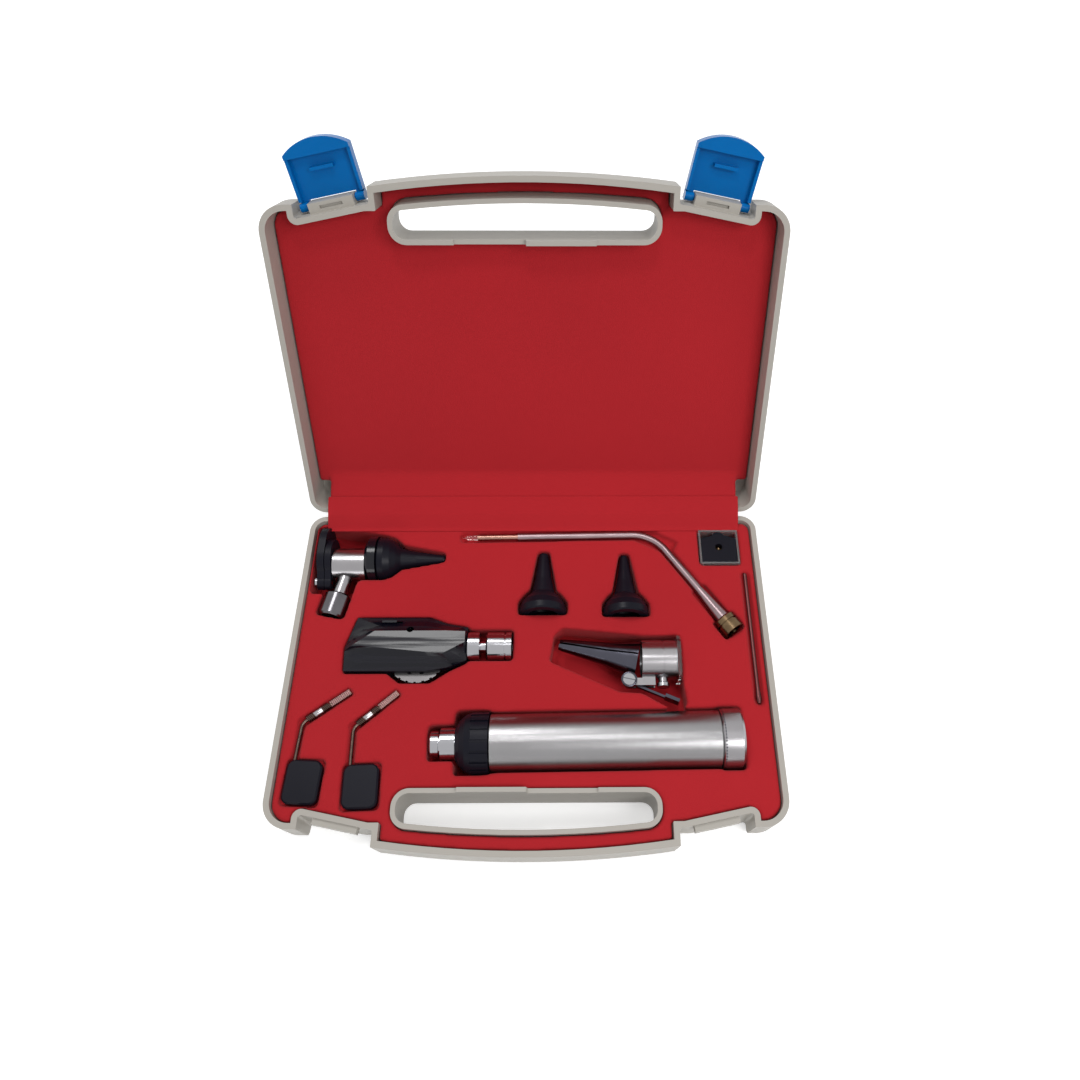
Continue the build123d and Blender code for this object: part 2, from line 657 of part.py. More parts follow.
with BuildPart() as ear_speculum:
    speculum(sight, NOSE_R - 0.8, SPECULUM_TIP_R, speculum_start, OTO_LENGTH - speculum_start, 8.6)
save(ear_speculum.part, "ear_speculum")

# ----------------------------------------------------------- battery handle
with BuildPart() as connector:
    turned(grip, [
        (0.6, 0), (0.6, SPIGOT_R - 0.6), (1.2, SPIGOT_R), (SPIGOT_LENGTH, SPIGOT_R),
        (SPIGOT_LENGTH, SPIGOT_R - 1.3), (SPIGOT_LENGTH + 1.2, SPIGOT_R - 1.3),
        (SPIGOT_LENGTH + 1.2, STEP_R), (COLLAR_START - RUN_GAP, STEP_R),
        (COLLAR_START - RUN_GAP, STEP_R - 1.2), (tube_start, STEP_R - 1.2),
        (tube_start, GRIP_BORE_R - SEAT_GAP), (tube_start + 7, GRIP_BORE_R - SEAT_GAP),
        (tube_start + 7, 0),
    ])
    disc(across(grip), 1.6 + FIT, (0, tube_start + 7), mode=Mode.SUBTRACT)
save(connector.part, "handle_connector")

with BuildPart() as contact_pin:
    turned(grip, [(0, 0), (0, 0.9), (0.7, 1.6), (CELL_START - SEAT_GAP, 1.6), (CELL_START - SEAT_GAP, 0)])
save(contact_pin.part, "contact_pin")

with BuildPart() as collar:
    bore = STEP_R - 1.2 + FIT
    turned(grip, [
        (COLLAR_START, bore), (COLLAR_START, STEP_R + 0.6), (COLLAR_START + 2.4, 12.6),
        (COLLAR_START + 5.2, 14.8), (COLLAR_START + 8.6, COLLAR_R), (collar_end, COLLAR_R),
        (collar_end, bore),
    ])
    with BuildSketch(across(grip, collar_end)):
        with PolarLocations(COLLAR_R + 0.5, RIB_COUNT):
            Rectangle(2.4, 1.5)
    extrude(amount=-9.5, mode=Mode.SUBTRACT)
save(collar.part, "switch_collar")

with BuildPart() as tube:
    turned(grip, [
        (tube_start, GRIP_BORE_R), (tube_start, GRIP_R - 0.3), (tube_start + 0.5, GRIP_R),
        (tube_end - 0.5, GRIP_R), (tube_end, GRIP_R - 0.3), (tube_end, GRIP_BORE_R),
    ])
save(tube.part, "handle_tube")

with BuildPart() as cells:
    for count in range(2):
        first = CELL_START + count * (CELL_LENGTH + 0.2)
        turned(grip, [
            (first, 0), (first, 2.6), (first + 1.5, 2.6), (first + 1.5, CELL_R),
            (first + CELL_LENGTH, CELL_R), (first + CELL_LENGTH, 0),
        ])
save(cells.part, "battery_cells")

cells_end = CELL_START + 2 * CELL_LENGTH + 0.2
with BuildPart() as end_cap:
    turned(grip, [
        (cap_start - 5.0, 11.4), (cap_start - 5.0, GRIP_BORE_R - FIT), (cap_start, GRIP_BORE_R - FIT),
        (cap_start, END_CAP_R - 0.6), (cap_start + 0.6, END_CAP_R),
        (HANDLE_LENGTH - 1.2, END_CAP_R), (HANDLE_LENGTH, END_CAP_R - 1.2), (HANDLE_LENGTH, 0),
        (cap_start + 3.0, 0), (cap_start + 3.0, 11.4),
    ])
save(end_cap.part, "handle_end_cap")

with BuildPart() as spring:
    # A folded leaf of springy strip between the last cell and the cap.
    room = cap_start + 3.0 - cells_end - 2 * SEAT_GAP
    leaf = seat(grip, cells_end + SEAT_GAP, 0)
    with BuildSketch(leaf.offset(-4)):
        with BuildLine():
            strip = Polyline((0.3, -6), (0.3, 7), (room / 2, -7), (room - 0.3, 7), (room - 0.3, -6))
            offset(strip, amount=0.3, side=Side.BOTH)
        make_face()
    extrude(amount=8)
save(spring.part, "battery_spring")

# ------------------------------------------------------ ophthalmoscope head
HEAD_PLAN = (
    (5.2, HEAD_HALF), (HEAD_TAPER_START, HEAD_HALF), (HEAD_TAPER_START + 10, HEAD_NECK_HALF + 2),
    (HEAD_LENGTH, HEAD_NECK_HALF), (HEAD_LENGTH, -HEAD_NECK_HALF),
    (HEAD_TAPER_START + 11, -HEAD_NECK_HALF - 4), (HEAD_TAPER_START, -HEAD_HALF), (0.8, -HEAD_HALF),
    (0, -2),
)
# The ridge's flat top has a corner for each corner of the plan.
RIDGE_PLAN = (
    (17.0, RIDGE_BACK), (HEAD_TAPER_START, RIDGE_BACK), (HEAD_TAPER_START + 10, RIDGE_BACK),
    (HEAD_LENGTH - 0.6, RIDGE_BACK - 0.4), (HEAD_LENGTH - 0.6, RIDGE_FRONT + 6.6),
    (HEAD_TAPER_START + 9, RIDGE_FRONT), (HEAD_TAPER_START, RIDGE_FRONT + 1.0),
    (10.0, RIDGE_FRONT + 4.6), (4.5, RIDGE_FRONT + 4.2),
)


def closed_plan(plane, outline):
    """A closed outline as a sketch on a plane."""
    with BuildSketch(plane) as plan:
        with BuildLine():
            Polyline(*outline, close=True)
        make_face()
    return plan.sketch


def head_openings(low, high):
    """The dial's room, the sight hole and the lamp's bore in one half."""
    room = DIAL_THICK / 2 + DIAL_ROOM
    disc(eye_head, DIAL_R + DIAL_ROOM, (-room, room), DIAL_AT, mode=Mode.SUBTRACT)
    disc(eye_head, SIGHT_R, (low, high), sight_hole, mode=Mode.SUBTRACT)
    disc(across(eye_head), 3.0, (HEAD_LENGTH - 13, HEAD_LENGTH), mode=Mode.SUBTRACT)


half_thick = HEAD_THICK / 2
parting = 0.05
with BuildPart() as eye_cover:
    extrude(closed_plan(eye_head.offset(parting), HEAD_PLAN), amount=HEAD_SHOULDER - parting)
    shoulder = closed_plan(eye_head.offset(HEAD_SHOULDER), HEAD_PLAN)
    ridge = closed_plan(eye_head.offset(half_thick), RIDGE_PLAN)
    loft([shoulder.face(), ridge.face()], ruled=True)
    head_openings(parting, half_thick)
    reach = (SELECTOR_AT[0] - 0.2, SELECTOR_AT[0] + SELECTOR_LENGTH + SELECTOR_TRAVEL + 0.2)
    wide = SELECTOR_HALF + FIT
    block(eye_head, reach, (SELECTOR_AT[1] - wide, SELECTOR_AT[1] + wide),
          (SELECTOR_FOOT - RUN_GAP, half_thick), mode=Mode.SUBTRACT)
save(eye_cover.part, "ophthalmoscope_cover")

with BuildPart() as eye_body:
    extrude(closed_plan(eye_head.offset(-parting), HEAD_PLAN), amount=parting - half_thick)
    chamfer(faces().sort_by(Axis.Z)[0].edges(), length=HEAD_CHAMFER)
    head_openings(-half_thick, -parting)
    disc(eye_head, 2.0, (-DIAL_THICK / 2 - DIAL_ROOM - 1, DIAL_THICK / 2 + DIAL_ROOM - 0.1), DIAL_AT)
save(eye_body.part, "ophthalmoscope_body")

with BuildPart() as dial:
    with BuildSketch(dial_plane.offset(-DIAL_THICK / 2)):
        Circle(DIAL_R)
        Circle(2.0 + FIT, mode=Mode.SUBTRACT)
        with PolarLocations(DIAL_R, DIAL_TEETH):
            Rectangle(1.2, 1.4, mode=Mode.SUBTRACT)
        with PolarLocations(DIAL_PITCH_R, DIAL_LENSES):
            Circle(DIAL_LENS_R + SEAT_GAP, mode=Mode.SUBTRACT)
    extrude(amount=DIAL_THICK)
save(dial.part, "lens_dial")

with BuildPart() as dial_lenses:
    with BuildSketch(dial_plane.offset(-0.6)):
        with PolarLocations(DIAL_PITCH_R, DIAL_LENSES):
            RegularPolygon(DIAL_LENS_R, 12)
    extrude(amount=1.2)
save(dial_lenses.part, "dial_lenses")

with BuildPart() as selector:
    us = (SELECTOR_AT[0], SELECTOR_AT[0] + SELECTOR_LENGTH)
    vs = (SELECTOR_AT[1] - SELECTOR_HALF, SELECTOR_AT[1] + SELECTOR_HALF)
    block(eye_head, us, vs, (SELECTOR_FOOT, HEAD_SHOULDER + 4.0))
save(selector.part, "aperture_selector")

with BuildPart() as brow_rest:
    rest_plane = seat(eye_head, *sight_hole, -half_thick)
    disc(rest_plane, BROW_R, (-1.6, 0))
    disc(rest_plane, SIGHT_R + 1, (-1.6, 0), mode=Mode.SUBTRACT)
save(brow_rest.part, "brow_rest")

with BuildPart() as eye_neck:
    turned(eye_head, [
        (HEAD_LENGTH, 0), (HEAD_LENGTH, NECK_RING_R - 0.5), (HEAD_LENGTH + 0.5, NECK_RING_R),
        (HEAD_LENGTH + NECK_RING_LENGTH, NECK_RING_R), (HEAD_LENGTH + NECK_RING_LENGTH, 3.4),
        (EYE_SOCKET_START, 3.4), (EYE_SOCKET_START, 0),
    ])
    disc(across(eye_head), 1.8, (HEAD_LENGTH, EYE_SOCKET_START), mode=Mode.SUBTRACT)
save(eye_neck.part, "ophthalmoscope_neck")

eye_socket_end = EYE_SOCKET_START + EYE_SOCKET_LENGTH
with BuildPart() as eye_socket:
    turned(eye_head, [
        (EYE_SOCKET_START, 2.2), (EYE_SOCKET_START, EYE_SOCKET_R - 1),
        (EYE_SOCKET_START + 1, EYE_SOCKET_R), (eye_socket_end - 4, EYE_SOCKET_R),
        (eye_socket_end - 4, EYE_SOCKET_R - 0.8), (eye_socket_end - 3, EYE_SOCKET_R - 0.8),
        (eye_socket_end - 3, EYE_SOCKET_R), (eye_socket_end, EYE_SOCKET_R),
        (eye_socket_end, 5.6), (EYE_SOCKET_START + 3, 5.6), (EYE_SOCKET_START + 3, 2.2),
    ])
save(eye_socket.part, "ophthalmoscope_socket")

with BuildPart() as eye_bulb:
    first = DIAL_AT[0] + DIAL_R + DIAL_ROOM + 0.6
    last = HEAD_LENGTH - 0.2
    turned(eye_head, [(first, 0), (first + 1.2, 1.6), (first + 4.0, 2.7), (last, 2.7), (last, 0)])
save(eye_bulb.part, "ophthalmoscope_bulb")

# ------------------------------------------------------ nasal speculum head
with BuildPart() as nasal_barrel:
    turned(nasal, [
        (2.0, 0), (2.0, NASAL_BARREL_R), (9.0, NASAL_BARREL_R),
        (9.0, NASAL_BARREL_R - 0.5), (10.0, NASAL_BARREL_R - 0.5), (10.0, NASAL_BARREL_R),
        (NASAL_BARREL_LENGTH, NASAL_BARREL_R), (NASAL_BARREL_LENGTH, 0),
    ])
    for low in (EAR_HALF + RUN_GAP, -EAR_HALF - RUN_GAP - LUG_THICK):
        heights = (low, low + LUG_THICK)
        block(nasal, (NASAL_BARREL_LENGTH - 7, NASAL_BARREL_LENGTH), (8, pivot_y + EAR_R), heights)
        block(nasal, (NASAL_BARREL_LENGTH - 1, pivot_x), (pivot_y - 1.6, pivot_y + EAR_R), heights)
        disc(nasal, EAR_R, heights, (pivot_x, pivot_y))
    disc(across(seat(nasal, NASAL_NECK_AT, 0, 0, 90)), NASAL_NECK_R, (NASAL_BARREL_R - 1, NASAL_NECK_END))
    disc(across(nasal), NASAL_BARREL_R - NASAL_WALL, (2.0, NASAL_BARREL_LENGTH), mode=Mode.SUBTRACT)
    disc(blade_pivot, PIVOT_SCREW_R + FIT, (-8, 8), mode=Mode.SUBTRACT)
save(nasal_barrel.part, "nasal_barrel")

with BuildPart() as nasal_socket:
    foot = seat(nasal, NASAL_NECK_AT, NASAL_NECK_END, 0, 90)
    turned(foot, [(0, 0), (0, 2.9), (0.5, 3.4), (2.4, 3.4), (2.4, 0)])
save(nasal_socket.part, "nasal_socket")

with BuildPart() as nasal_lens:
    with BuildSketch(across(nasal)):
        RectangleRounded(25, 22, 7)
    extrude(amount=2.0 - SEAT_GAP)
save(nasal_lens.part, "nasal_lens")


def blade(facing):
    """Half of the tapered nasal speculum, facing the hinge (-1) or front (1)."""
    middle_r = BLADE_ROOT_R * 0.62
    turned(blades, [
        (0, BLADE_ROOT_R - BLADE_WALL), (0, BLADE_ROOT_R), (BLADE_LENGTH * 0.4, middle_r),
        (BLADE_LENGTH - 2, BLADE_TIP_R), (BLADE_LENGTH, BLADE_TIP_R - 0.5),
        (BLADE_LENGTH, BLADE_TIP_R - BLADE_WALL), (BLADE_LENGTH * 0.4, middle_r - BLADE_WALL),
    ])
    vs = sorted((facing * BLADE_PARTING, -facing * 2 * BLADE_ROOT_R))
    block(blades, (-8, BLADE_LENGTH + 2), vs, (-20, 20), mode=Mode.SUBTRACT)


with BuildPart() as fixed_blade:
    blade(-1)
save(fixed_blade.part, "nasal_fixed_blade")

with BuildPart() as moving_blade:
    blade(1)
    heights = (-EAR_HALF, EAR_HALF)
    root = BLADE_ROOT_R - BLADE_WALL / 2
    block(blades, (0, BLADE_PIVOT[0] + EAR_R), (root, BLADE_PIVOT[1]), heights)
    disc(blades, EAR_R, heights, BLADE_PIVOT)
    block(lever, (0, LEVER_LENGTH), (-LEVER_HALF, LEVER_HALF), heights)
    block(lever, (LEVER_LENGTH - 8, LEVER_LENGTH), (-LEVER_HALF, 2 * LEVER_HALF), (-3.4, 3.4))
    disc(blade_pivot, PIVOT_SCREW_R + FIT, (-8, 8), mode=Mode.SUBTRACT)
save(moving_blade.part, "nasal_moving_blade")

with BuildPart() as thumb_screw:
    top = EAR_HALF + RUN_GAP + LUG_THICK + RUN_GAP
    disc(blade_pivot, THUMB_R, (top, top + THUMB_HEIGHT))
    disc(blade_pivot, PIVOT_SCREW_R, (-EAR_HALF - RUN_GAP - LUG_THICK, top))
    block(blade_pivot, (-THUMB_R, THUMB_R), (-0.5, 0.5), (top + THUMB_HEIGHT - 0.9, top + THUMB_HEIGHT),
          mode=Mode.SUBTRACT)
save(thumb_screw.part, "nasal_thumb_screw")

# ------------------------------------------------------ bent-arm illuminator
arm_height = RIM_Z - ARM_DROP
arm_leg = lying(*ARM_TIP, leg_turn(ARM_TIP, ARM_ELBOW), arm_height)
arm_drop_leg = lying(*ARM_ELBOW, leg_turn(ARM_ELBOW, ARM_END), arm_height)
arm_drop_length = leg_length(ARM_ELBOW, ARM_END)
sleeve_end = ARM_LAMP_LENGTH + ARM_SLEEVE_LENGTH
flare_start = arm_drop_length - 22.0

with BuildPart() as arm_tube:
    bend = [
        arm_leg.from_local_coords(Vector(sleeve_end, 0, 0)),
        arm_drop_leg.origin,
        arm_drop_leg.from_local_coords(Vector(flare_start, 0, 0)),
    ]
    with BuildLine() as route:
        FilletPolyline(*bend, radius=ARM_BEND_R)
    with BuildSketch(across(arm_leg, sleeve_end)) as bore:
        Circle(ARM_R)
    sweep(bore.sketch, path=route.wires()[0])
    turned(arm_drop_leg, [
        (flare_start, 0), (flare_start, ARM_R), (arm_drop_length, ARM_FLARE_R), (arm_drop_length, 0),
    ])
save(arm_tube.part, "arm_tube")

with BuildPart() as arm_sleeve:
    turned(arm_leg, [
        (ARM_LAMP_LENGTH, 0), (ARM_LAMP_LENGTH, ARM_SLEEVE_R), (sleeve_end, ARM_SLEEVE_R), (sleeve_end, 0),
    ])
save(arm_sleeve.part, "arm_sleeve")

with BuildPart() as arm_lamp:
    turned(arm_leg, [(0, 0), (0, 0.5), (3.0, 1.3), (ARM_LAMP_LENGTH, 1.5), (ARM_LAMP_LENGTH, 0)])
save(arm_lamp.part, "arm_lamp")

with BuildPart() as arm_plug:
    plug = seat(arm_drop_leg, arm_drop_length, 0)
    turned(plug, [
        (0, 0), (0, ARM_PLUG_R - 0.8), (0.8, ARM_PLUG_R), (3.4, ARM_PLUG_R), (3.4, ARM_PLUG_R - 0.9),
        (4.4, ARM_PLUG_R - 0.9), (4.4, ARM_PLUG_R), (ARM_PLUG_LENGTH, ARM_PLUG_R),
        (ARM_PLUG_LENGTH, 4.4), (4.0, 4.4), (4.0, 1.4), (ARM_PLUG_LENGTH + 0.8, 1.4),
        (ARM_PLUG_LENGTH + 0.8, 0),
    ])
save(arm_plug.part, "arm_plug")

# ------------------------------------------------------------ ear specula
for (x, v, base_r, tip_r), name in zip(SPARE_AT, ("spare_speculum_wide", "spare_speculum_narrow")):
    with BuildPart() as spare:
        speculum(lying(x, v, SPARE_TURN), base_r, tip_r, 0, SPARE_LENGTH, base_r * 0.66)
    save(spare.part, name)

# ------------------------------------------------------ laryngeal mirrors
mirror_height = RIM_Z - MIRROR_DROP
for (x, v, lean), name in zip(MIRROR_AT, ("mirror_left", "mirror_right")):
    cup = lying(x, v, lean, mirror_height)
    with BuildPart() as mirror_cup:
        with BuildSketch(cup.offset(-MIRROR_THICK / 2)):
            RectangleRounded(MIRROR_WIDTH, MIRROR_LENGTH, MIRROR_CORNER_R)
        extrude(amount=MIRROR_THICK)
        chamfer(faces().sort_by(Axis.Z)[-1].edges(), length=0.8)
        with BuildSketch(cup.offset(-MIRROR_THICK / 2)):
            RectangleRounded(MIRROR_WIDTH - 2, MIRROR_LENGTH - 2, MIRROR_CORNER_R - 1)
        extrude(amount=1.4, mode=Mode.SUBTRACT)
    save(mirror_cup.part, f"{name}_cup")
    with BuildPart() as mirror_glass:
        with BuildSketch(cup.offset(-MIRROR_THICK / 2 + 0.2)):
            RectangleRounded(MIRROR_WIDTH - 2.2, MIRROR_LENGTH - 2.2, MIRROR_CORNER_R - 1.1)
        extrude(amount=1.2 - SEAT_GAP)
    save(mirror_glass.part, f"{name}_glass")
    with BuildPart() as mirror_stem:
        knots = [cup.from_local_coords(Vector(*spot, 0)) for spot in MIRROR_ROUTE]
        foot = seat(cup, *MIRROR_ROUTE[0], 0, 90)
        with BuildLine() as route:
            FilletPolyline(*knots, radius=MIRROR_BEND_R)
        with BuildSketch(across(foot)) as wire:
            Circle(MIRROR_WIRE_R)
        sweep(wire.sketch, path=route.wires()[0])
        clip_turn = degrees(atan2(
            MIRROR_ROUTE[2][1] - MIRROR_ROUTE[1][1], MIRROR_ROUTE[2][0] - MIRROR_ROUTE[1][0],
        ))
        clip = seat(cup, *MIRROR_ROUTE[2], 0, clip_turn)
        disc(across(clip), 1.7, (-13, -4))
        block(clip, (-1, MIRROR_CLIP), (-1.5, 1.5), (-0.6, 0.6))
    save(mirror_stem.part, f"{name}_stem")

# ------------------------------------------------------------- spare bulb
box = lying(*BOX_AT, 0, RIM_Z - FOAM_DROP + BOX_PROUD)
with BuildPart() as bulb_box:
    width, length, tall = BOX_SIZE
    block(box, (-width / 2, width / 2), (-length / 2, length / 2), (-tall, 0))
    inside = (width / 2 - BOX_WALL, length / 2 - BOX_WALL)
    block(box, (-inside[0], inside[0]), (-inside[1], inside[1]), (BOX_WALL - tall, 0), mode=Mode.SUBTRACT)
save(bulb_box.part, "bulb_box")

with BuildPart() as holder:
    near, far = inside[0] - 0.1, inside[1] - 0.1
    with BuildSketch(box.offset(BOX_WALL - tall)):
        with BuildLine():
            Polyline((-near, -far), (near, -far), (near, far - 4.2), (3.6, far - 2.2), (-3.6, far - 2.2),
                     (-near, far - 4.2), close=True)
        make_face()
        with Locations((0, far - 4.0)):
            Circle(4.0)
        Circle(2.2, mode=Mode.SUBTRACT)
    extrude(amount=tall - BOX_WALL - 0.6)
save(holder.part, "bulb_holder")

with BuildPart() as spare_bulb:
    upright = Plane(origin=box.origin, x_dir=(0, 0, 1), z_dir=(1, 0, 0))
    turned(upright, [
        (BOX_WALL - tall, 0), (BOX_WALL - tall, 2.1), (-5.0, 2.1), (-5.0, 1.6), (-2.4, 1.4), (-1.4, 0),
    ])
save(spare_bulb.part, "spare_bulb")

with BuildPart() as probe:
    turned(lying(*ROD_AT, 90, RIM_Z - ARM_DROP), [
        (-ROD_LENGTH / 2, 0), (-ROD_LENGTH / 2, 1.0), (-ROD_LENGTH / 2 + 3, 1.6),
        (-ROD_LENGTH / 2 + 9, ROD_R), (ROD_LENGTH / 2 - 0.5, ROD_R), (ROD_LENGTH / 2, 0.7),
        (ROD_LENGTH / 2, 0),
    ])
save(probe.part, "probe_rod")

# ----------------------------------------------------------- foam and lining
with BuildPart() as base_foam:
    slant = degrees(atan2(SHELL_DRAFT, BASE_DEPTH))
    inset = SHELL_WALL + SOFT_GAP + FOAM_DROP * SHELL_DRAFT / BASE_DEPTH
    top = base_case.offset(-FOAM_DROP)
    add(core(top, inset, FOAM_TOP - FOAM_FLOOR, slant))
    extrude(slot_outline(top, RING_WALL + SOFT_GAP), amount=FOAM_FLOOR - FOAM_TOP, mode=Mode.SUBTRACT)

    # The otoscope's cut-out slopes from the window's top to the flange.
    reach = speculum_start + 4
    pocket_shape(sight, [
        (-2.6, WINDOW_TOP), (WINDOW_THICK + 1, WINDOW_TOP), (reach, NOSE_R), (reach, -NOSE_R),
        (nose_start, -NOSE_R), (nose_start, BARREL_SHIFT - BARREL_R), (WINDOW_THICK + 1, -22.0),
        (-2.6, -22.0),
    ], NOSE_R)
    pocket_shape(sight, [
        (reach - 1, NOSE_R), (reach + 4, NOSE_R * 0.9), (reach + 10, NOSE_R * 0.5 + 0.3),
        (OTO_LENGTH, SPECULUM_TIP_R), (OTO_LENGTH, -SPECULUM_TIP_R),
        (reach + 10, -NOSE_R * 0.5 - 0.3), (reach + 4, -NOSE_R * 0.9), (reach - 1, -NOSE_R),
    ], NOSE_R)
    pocket(oto_neck, (0, NECK_LENGTH + SOCKET_LENGTH), (-SOCKET_R, SOCKET_R), SOCKET_R)

    pocket(grip, (0, COLLAR_START), (-STEP_R, STEP_R), STEP_R)
    pocket(grip, (COLLAR_START, collar_end), (-COLLAR_R, COLLAR_R), COLLAR_R)
    pocket(grip, (collar_end, cap_start), (-GRIP_R, GRIP_R), GRIP_R)
    pocket(grip, (cap_start, HANDLE_LENGTH), (-END_CAP_R, END_CAP_R), END_CAP_R)

    pocket_shape(eye_head, [
        *HEAD_PLAN[:5], (HEAD_TAPER_START + 12, DIAL_AT[1] - DIAL_R * 0.6),
        (DIAL_AT[0] + 8, DIAL_AT[1] - DIAL_R), (DIAL_AT[0] - 8, DIAL_AT[1] - DIAL_R),
        (DIAL_AT[0] - 15, -HEAD_HALF), *HEAD_PLAN[7:],
    ], half_thick + 1.6)
    pocket(eye_head, (HEAD_LENGTH, eye_socket_end), (-EYE_SOCKET_R, EYE_SOCKET_R), EYE_SOCKET_R)

    pocket_shape(nasal, [
        (0, -12.5), (NASAL_BARREL_LENGTH, -12.5), (blade_start + 41, -17.0), (blade_start + 45, -13.0),
        (swung_x + 1, swung_y), (pivot_x + 5, pivot_y + 5), (NASAL_BARREL_LENGTH, pivot_y + 6),
        (8, 26.5), (0, 27.5), (-1.5, 25), (0, 12.5),
    ], NASAL_BARREL_R)

    pocket(arm_leg, (0, leg_length(ARM_TIP, ARM_ELBOW)), (-ARM_R, ARM_R), ARM_R)
    pocket(arm_drop_leg, (0, flare_start), (-ARM_R, ARM_R), ARM_R)
    pocket(arm_drop_leg, (flare_start, arm_drop_length), (-ARM_FLARE_R, ARM_FLARE_R), ARM_FLARE_R)
    pocket(arm_drop_leg, (arm_drop_length, arm_drop_length + ARM_PLUG_LENGTH + 0.8),
           (-ARM_PLUG_R, ARM_PLUG_R), ARM_PLUG_R)
    bend_reach = ARM_BEND_R * 0.6
    pocket(seat(arm_leg, leg_length(ARM_TIP, ARM_ELBOW), 0, 0, leg_turn(ARM_ELBOW, ARM_END) / 2),
           (-bend_reach, bend_reach), (-ARM_R - 5.0, ARM_R - 1.0), ARM_R)

    for x, v, base_r, tip_r in SPARE_AT:
        spare = lying(x, v, SPARE_TURN)
        pocket_shape(spare, [
            (0, base_r), (6.5, base_r), (11, base_r * 0.76), (14, base_r * 0.52), (SPARE_LENGTH, tip_r),
            (SPARE_LENGTH, -tip_r), (14, -base_r * 0.52), (11, -base_r * 0.76), (6.5, -base_r),
            (0, -base_r),
        ], base_r)

    for x, v, lean in MIRROR_AT:
        cup = lying(x, v, lean, mirror_height)
        half = (MIRROR_WIDTH / 2, MIRROR_LENGTH / 2)
        pocket(cup, (-half[0], half[0]), (-half[1], half[1]), MIRROR_THICK / 2)
        foot, knee, head = MIRROR_ROUTE
        pocket(cup, (foot[0] - 1, foot[0] + 1), (foot[1], knee[1] + 1), 1.5)
        clip = seat(cup, *head, 0, degrees(atan2(head[1] - knee[1], head[0] - knee[0])))
        pocket(clip, (-leg_length(knee, head) - 1, MIRROR_CLIP), (-1.8, 1.8), 1.8)

    width, length, tall = BOX_SIZE
    pocket(box, (-width / 2, width / 2), (-length / 2, length / 2), tall, gap=SOFT_GAP)
    pocket(lying(*ROD_AT, 90, RIM_Z - ARM_DROP), (-ROD_LENGTH / 2, ROD_LENGTH / 2), (-1.6, 1.6), 1.6)
save(base_foam.part, "base_foam")

with BuildPart() as lid_lining:
    slant = degrees(atan2(SHELL_DRAFT, LID_DEPTH))
    inset = SHELL_WALL + SOFT_GAP + LINING_DROP * SHELL_DRAFT / LID_DEPTH
    thick = LID_DEPTH - SHELL_FLOOR - FLOOR_GAP - LINING_DROP
    top = lid_case.offset(-LINING_DROP)
    add(core(top, inset, thick, slant))
    extrude(slot_outline(top, RING_WALL + SOFT_GAP), amount=-thick, mode=Mode.SUBTRACT)
    block(lid_case, (-CASE_WIDTH, CASE_WIDTH), (0, LINING_BACK), (-LID_DEPTH, 0), mode=Mode.SUBTRACT)
    tip = BACK_WALL + SHELL_WALL + 2 * SOFT_GAP
    with BuildSketch(across(lid_case, -TONGUE_HALF)):
        with BuildLine():
            Polyline(
                (LINING_BACK + 6, -LINING_DROP), (tip, -0.9), (tip, -0.9 - TONGUE_THICK),
                (LINING_BACK, -LINING_DROP - TONGUE_THICK), (LINING_BACK + 6, -LINING_DROP - TONGUE_THICK),
                close=True,
            )
        make_face()
    extrude(amount=2 * TONGUE_HALF)
save(lid_lining.part, "lid_lining")
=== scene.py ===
# %% [markdown]
# # An otoscope set in its open case
# The set is a moulded case with two halves on a hinge, a red foam tray with a
# cut-out for every instrument, and the instruments themselves. The rigid parts
# come ready-made from the engineering model. Here the soft parts are made, every
# surface gets its finish, and the set is lit and framed.

# %% Load the engineering model
import json
from math import atan2, cos, hypot, pi, radians, sin

import bpy
from mathutils import Matrix, Vector

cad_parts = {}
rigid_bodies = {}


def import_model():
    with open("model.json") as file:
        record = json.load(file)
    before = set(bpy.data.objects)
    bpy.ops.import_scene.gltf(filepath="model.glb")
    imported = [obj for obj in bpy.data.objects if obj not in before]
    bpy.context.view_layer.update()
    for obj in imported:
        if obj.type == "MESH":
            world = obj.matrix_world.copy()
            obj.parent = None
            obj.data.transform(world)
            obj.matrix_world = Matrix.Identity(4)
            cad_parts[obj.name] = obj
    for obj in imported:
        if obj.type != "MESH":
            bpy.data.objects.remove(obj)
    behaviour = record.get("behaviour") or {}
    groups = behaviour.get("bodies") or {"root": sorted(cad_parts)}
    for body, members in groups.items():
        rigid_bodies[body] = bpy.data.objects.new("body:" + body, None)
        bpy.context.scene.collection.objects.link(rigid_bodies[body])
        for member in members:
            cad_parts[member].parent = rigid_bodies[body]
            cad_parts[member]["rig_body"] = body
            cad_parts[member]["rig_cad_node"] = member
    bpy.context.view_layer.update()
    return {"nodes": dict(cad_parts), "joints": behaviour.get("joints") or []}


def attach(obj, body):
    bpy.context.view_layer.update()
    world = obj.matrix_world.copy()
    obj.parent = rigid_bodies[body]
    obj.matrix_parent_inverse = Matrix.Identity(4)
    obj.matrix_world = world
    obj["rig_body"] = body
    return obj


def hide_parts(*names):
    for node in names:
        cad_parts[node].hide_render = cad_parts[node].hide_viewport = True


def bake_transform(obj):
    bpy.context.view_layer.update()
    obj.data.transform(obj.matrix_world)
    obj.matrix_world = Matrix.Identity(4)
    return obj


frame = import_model()
nodes = frame["nodes"]

# %% [markdown]
# ## Small helpers
# Blender's operators act on whatever is selected, so everything is deselected
# before each piece is started, and one object is made active.

# %% Selecting and finishing
def pick(obj):
    """Makes obj the only selected object, and the active one."""
    bpy.ops.object.select_all(action="DESELECT")
    obj.select_set(True)
    bpy.context.view_layer.objects.active = obj


def apply_all(obj):
    """Applies every modifier of obj in order."""
    pick(obj)
    for modifier in list(obj.modifiers):
        bpy.ops.object.modifier_apply(modifier=modifier.name)


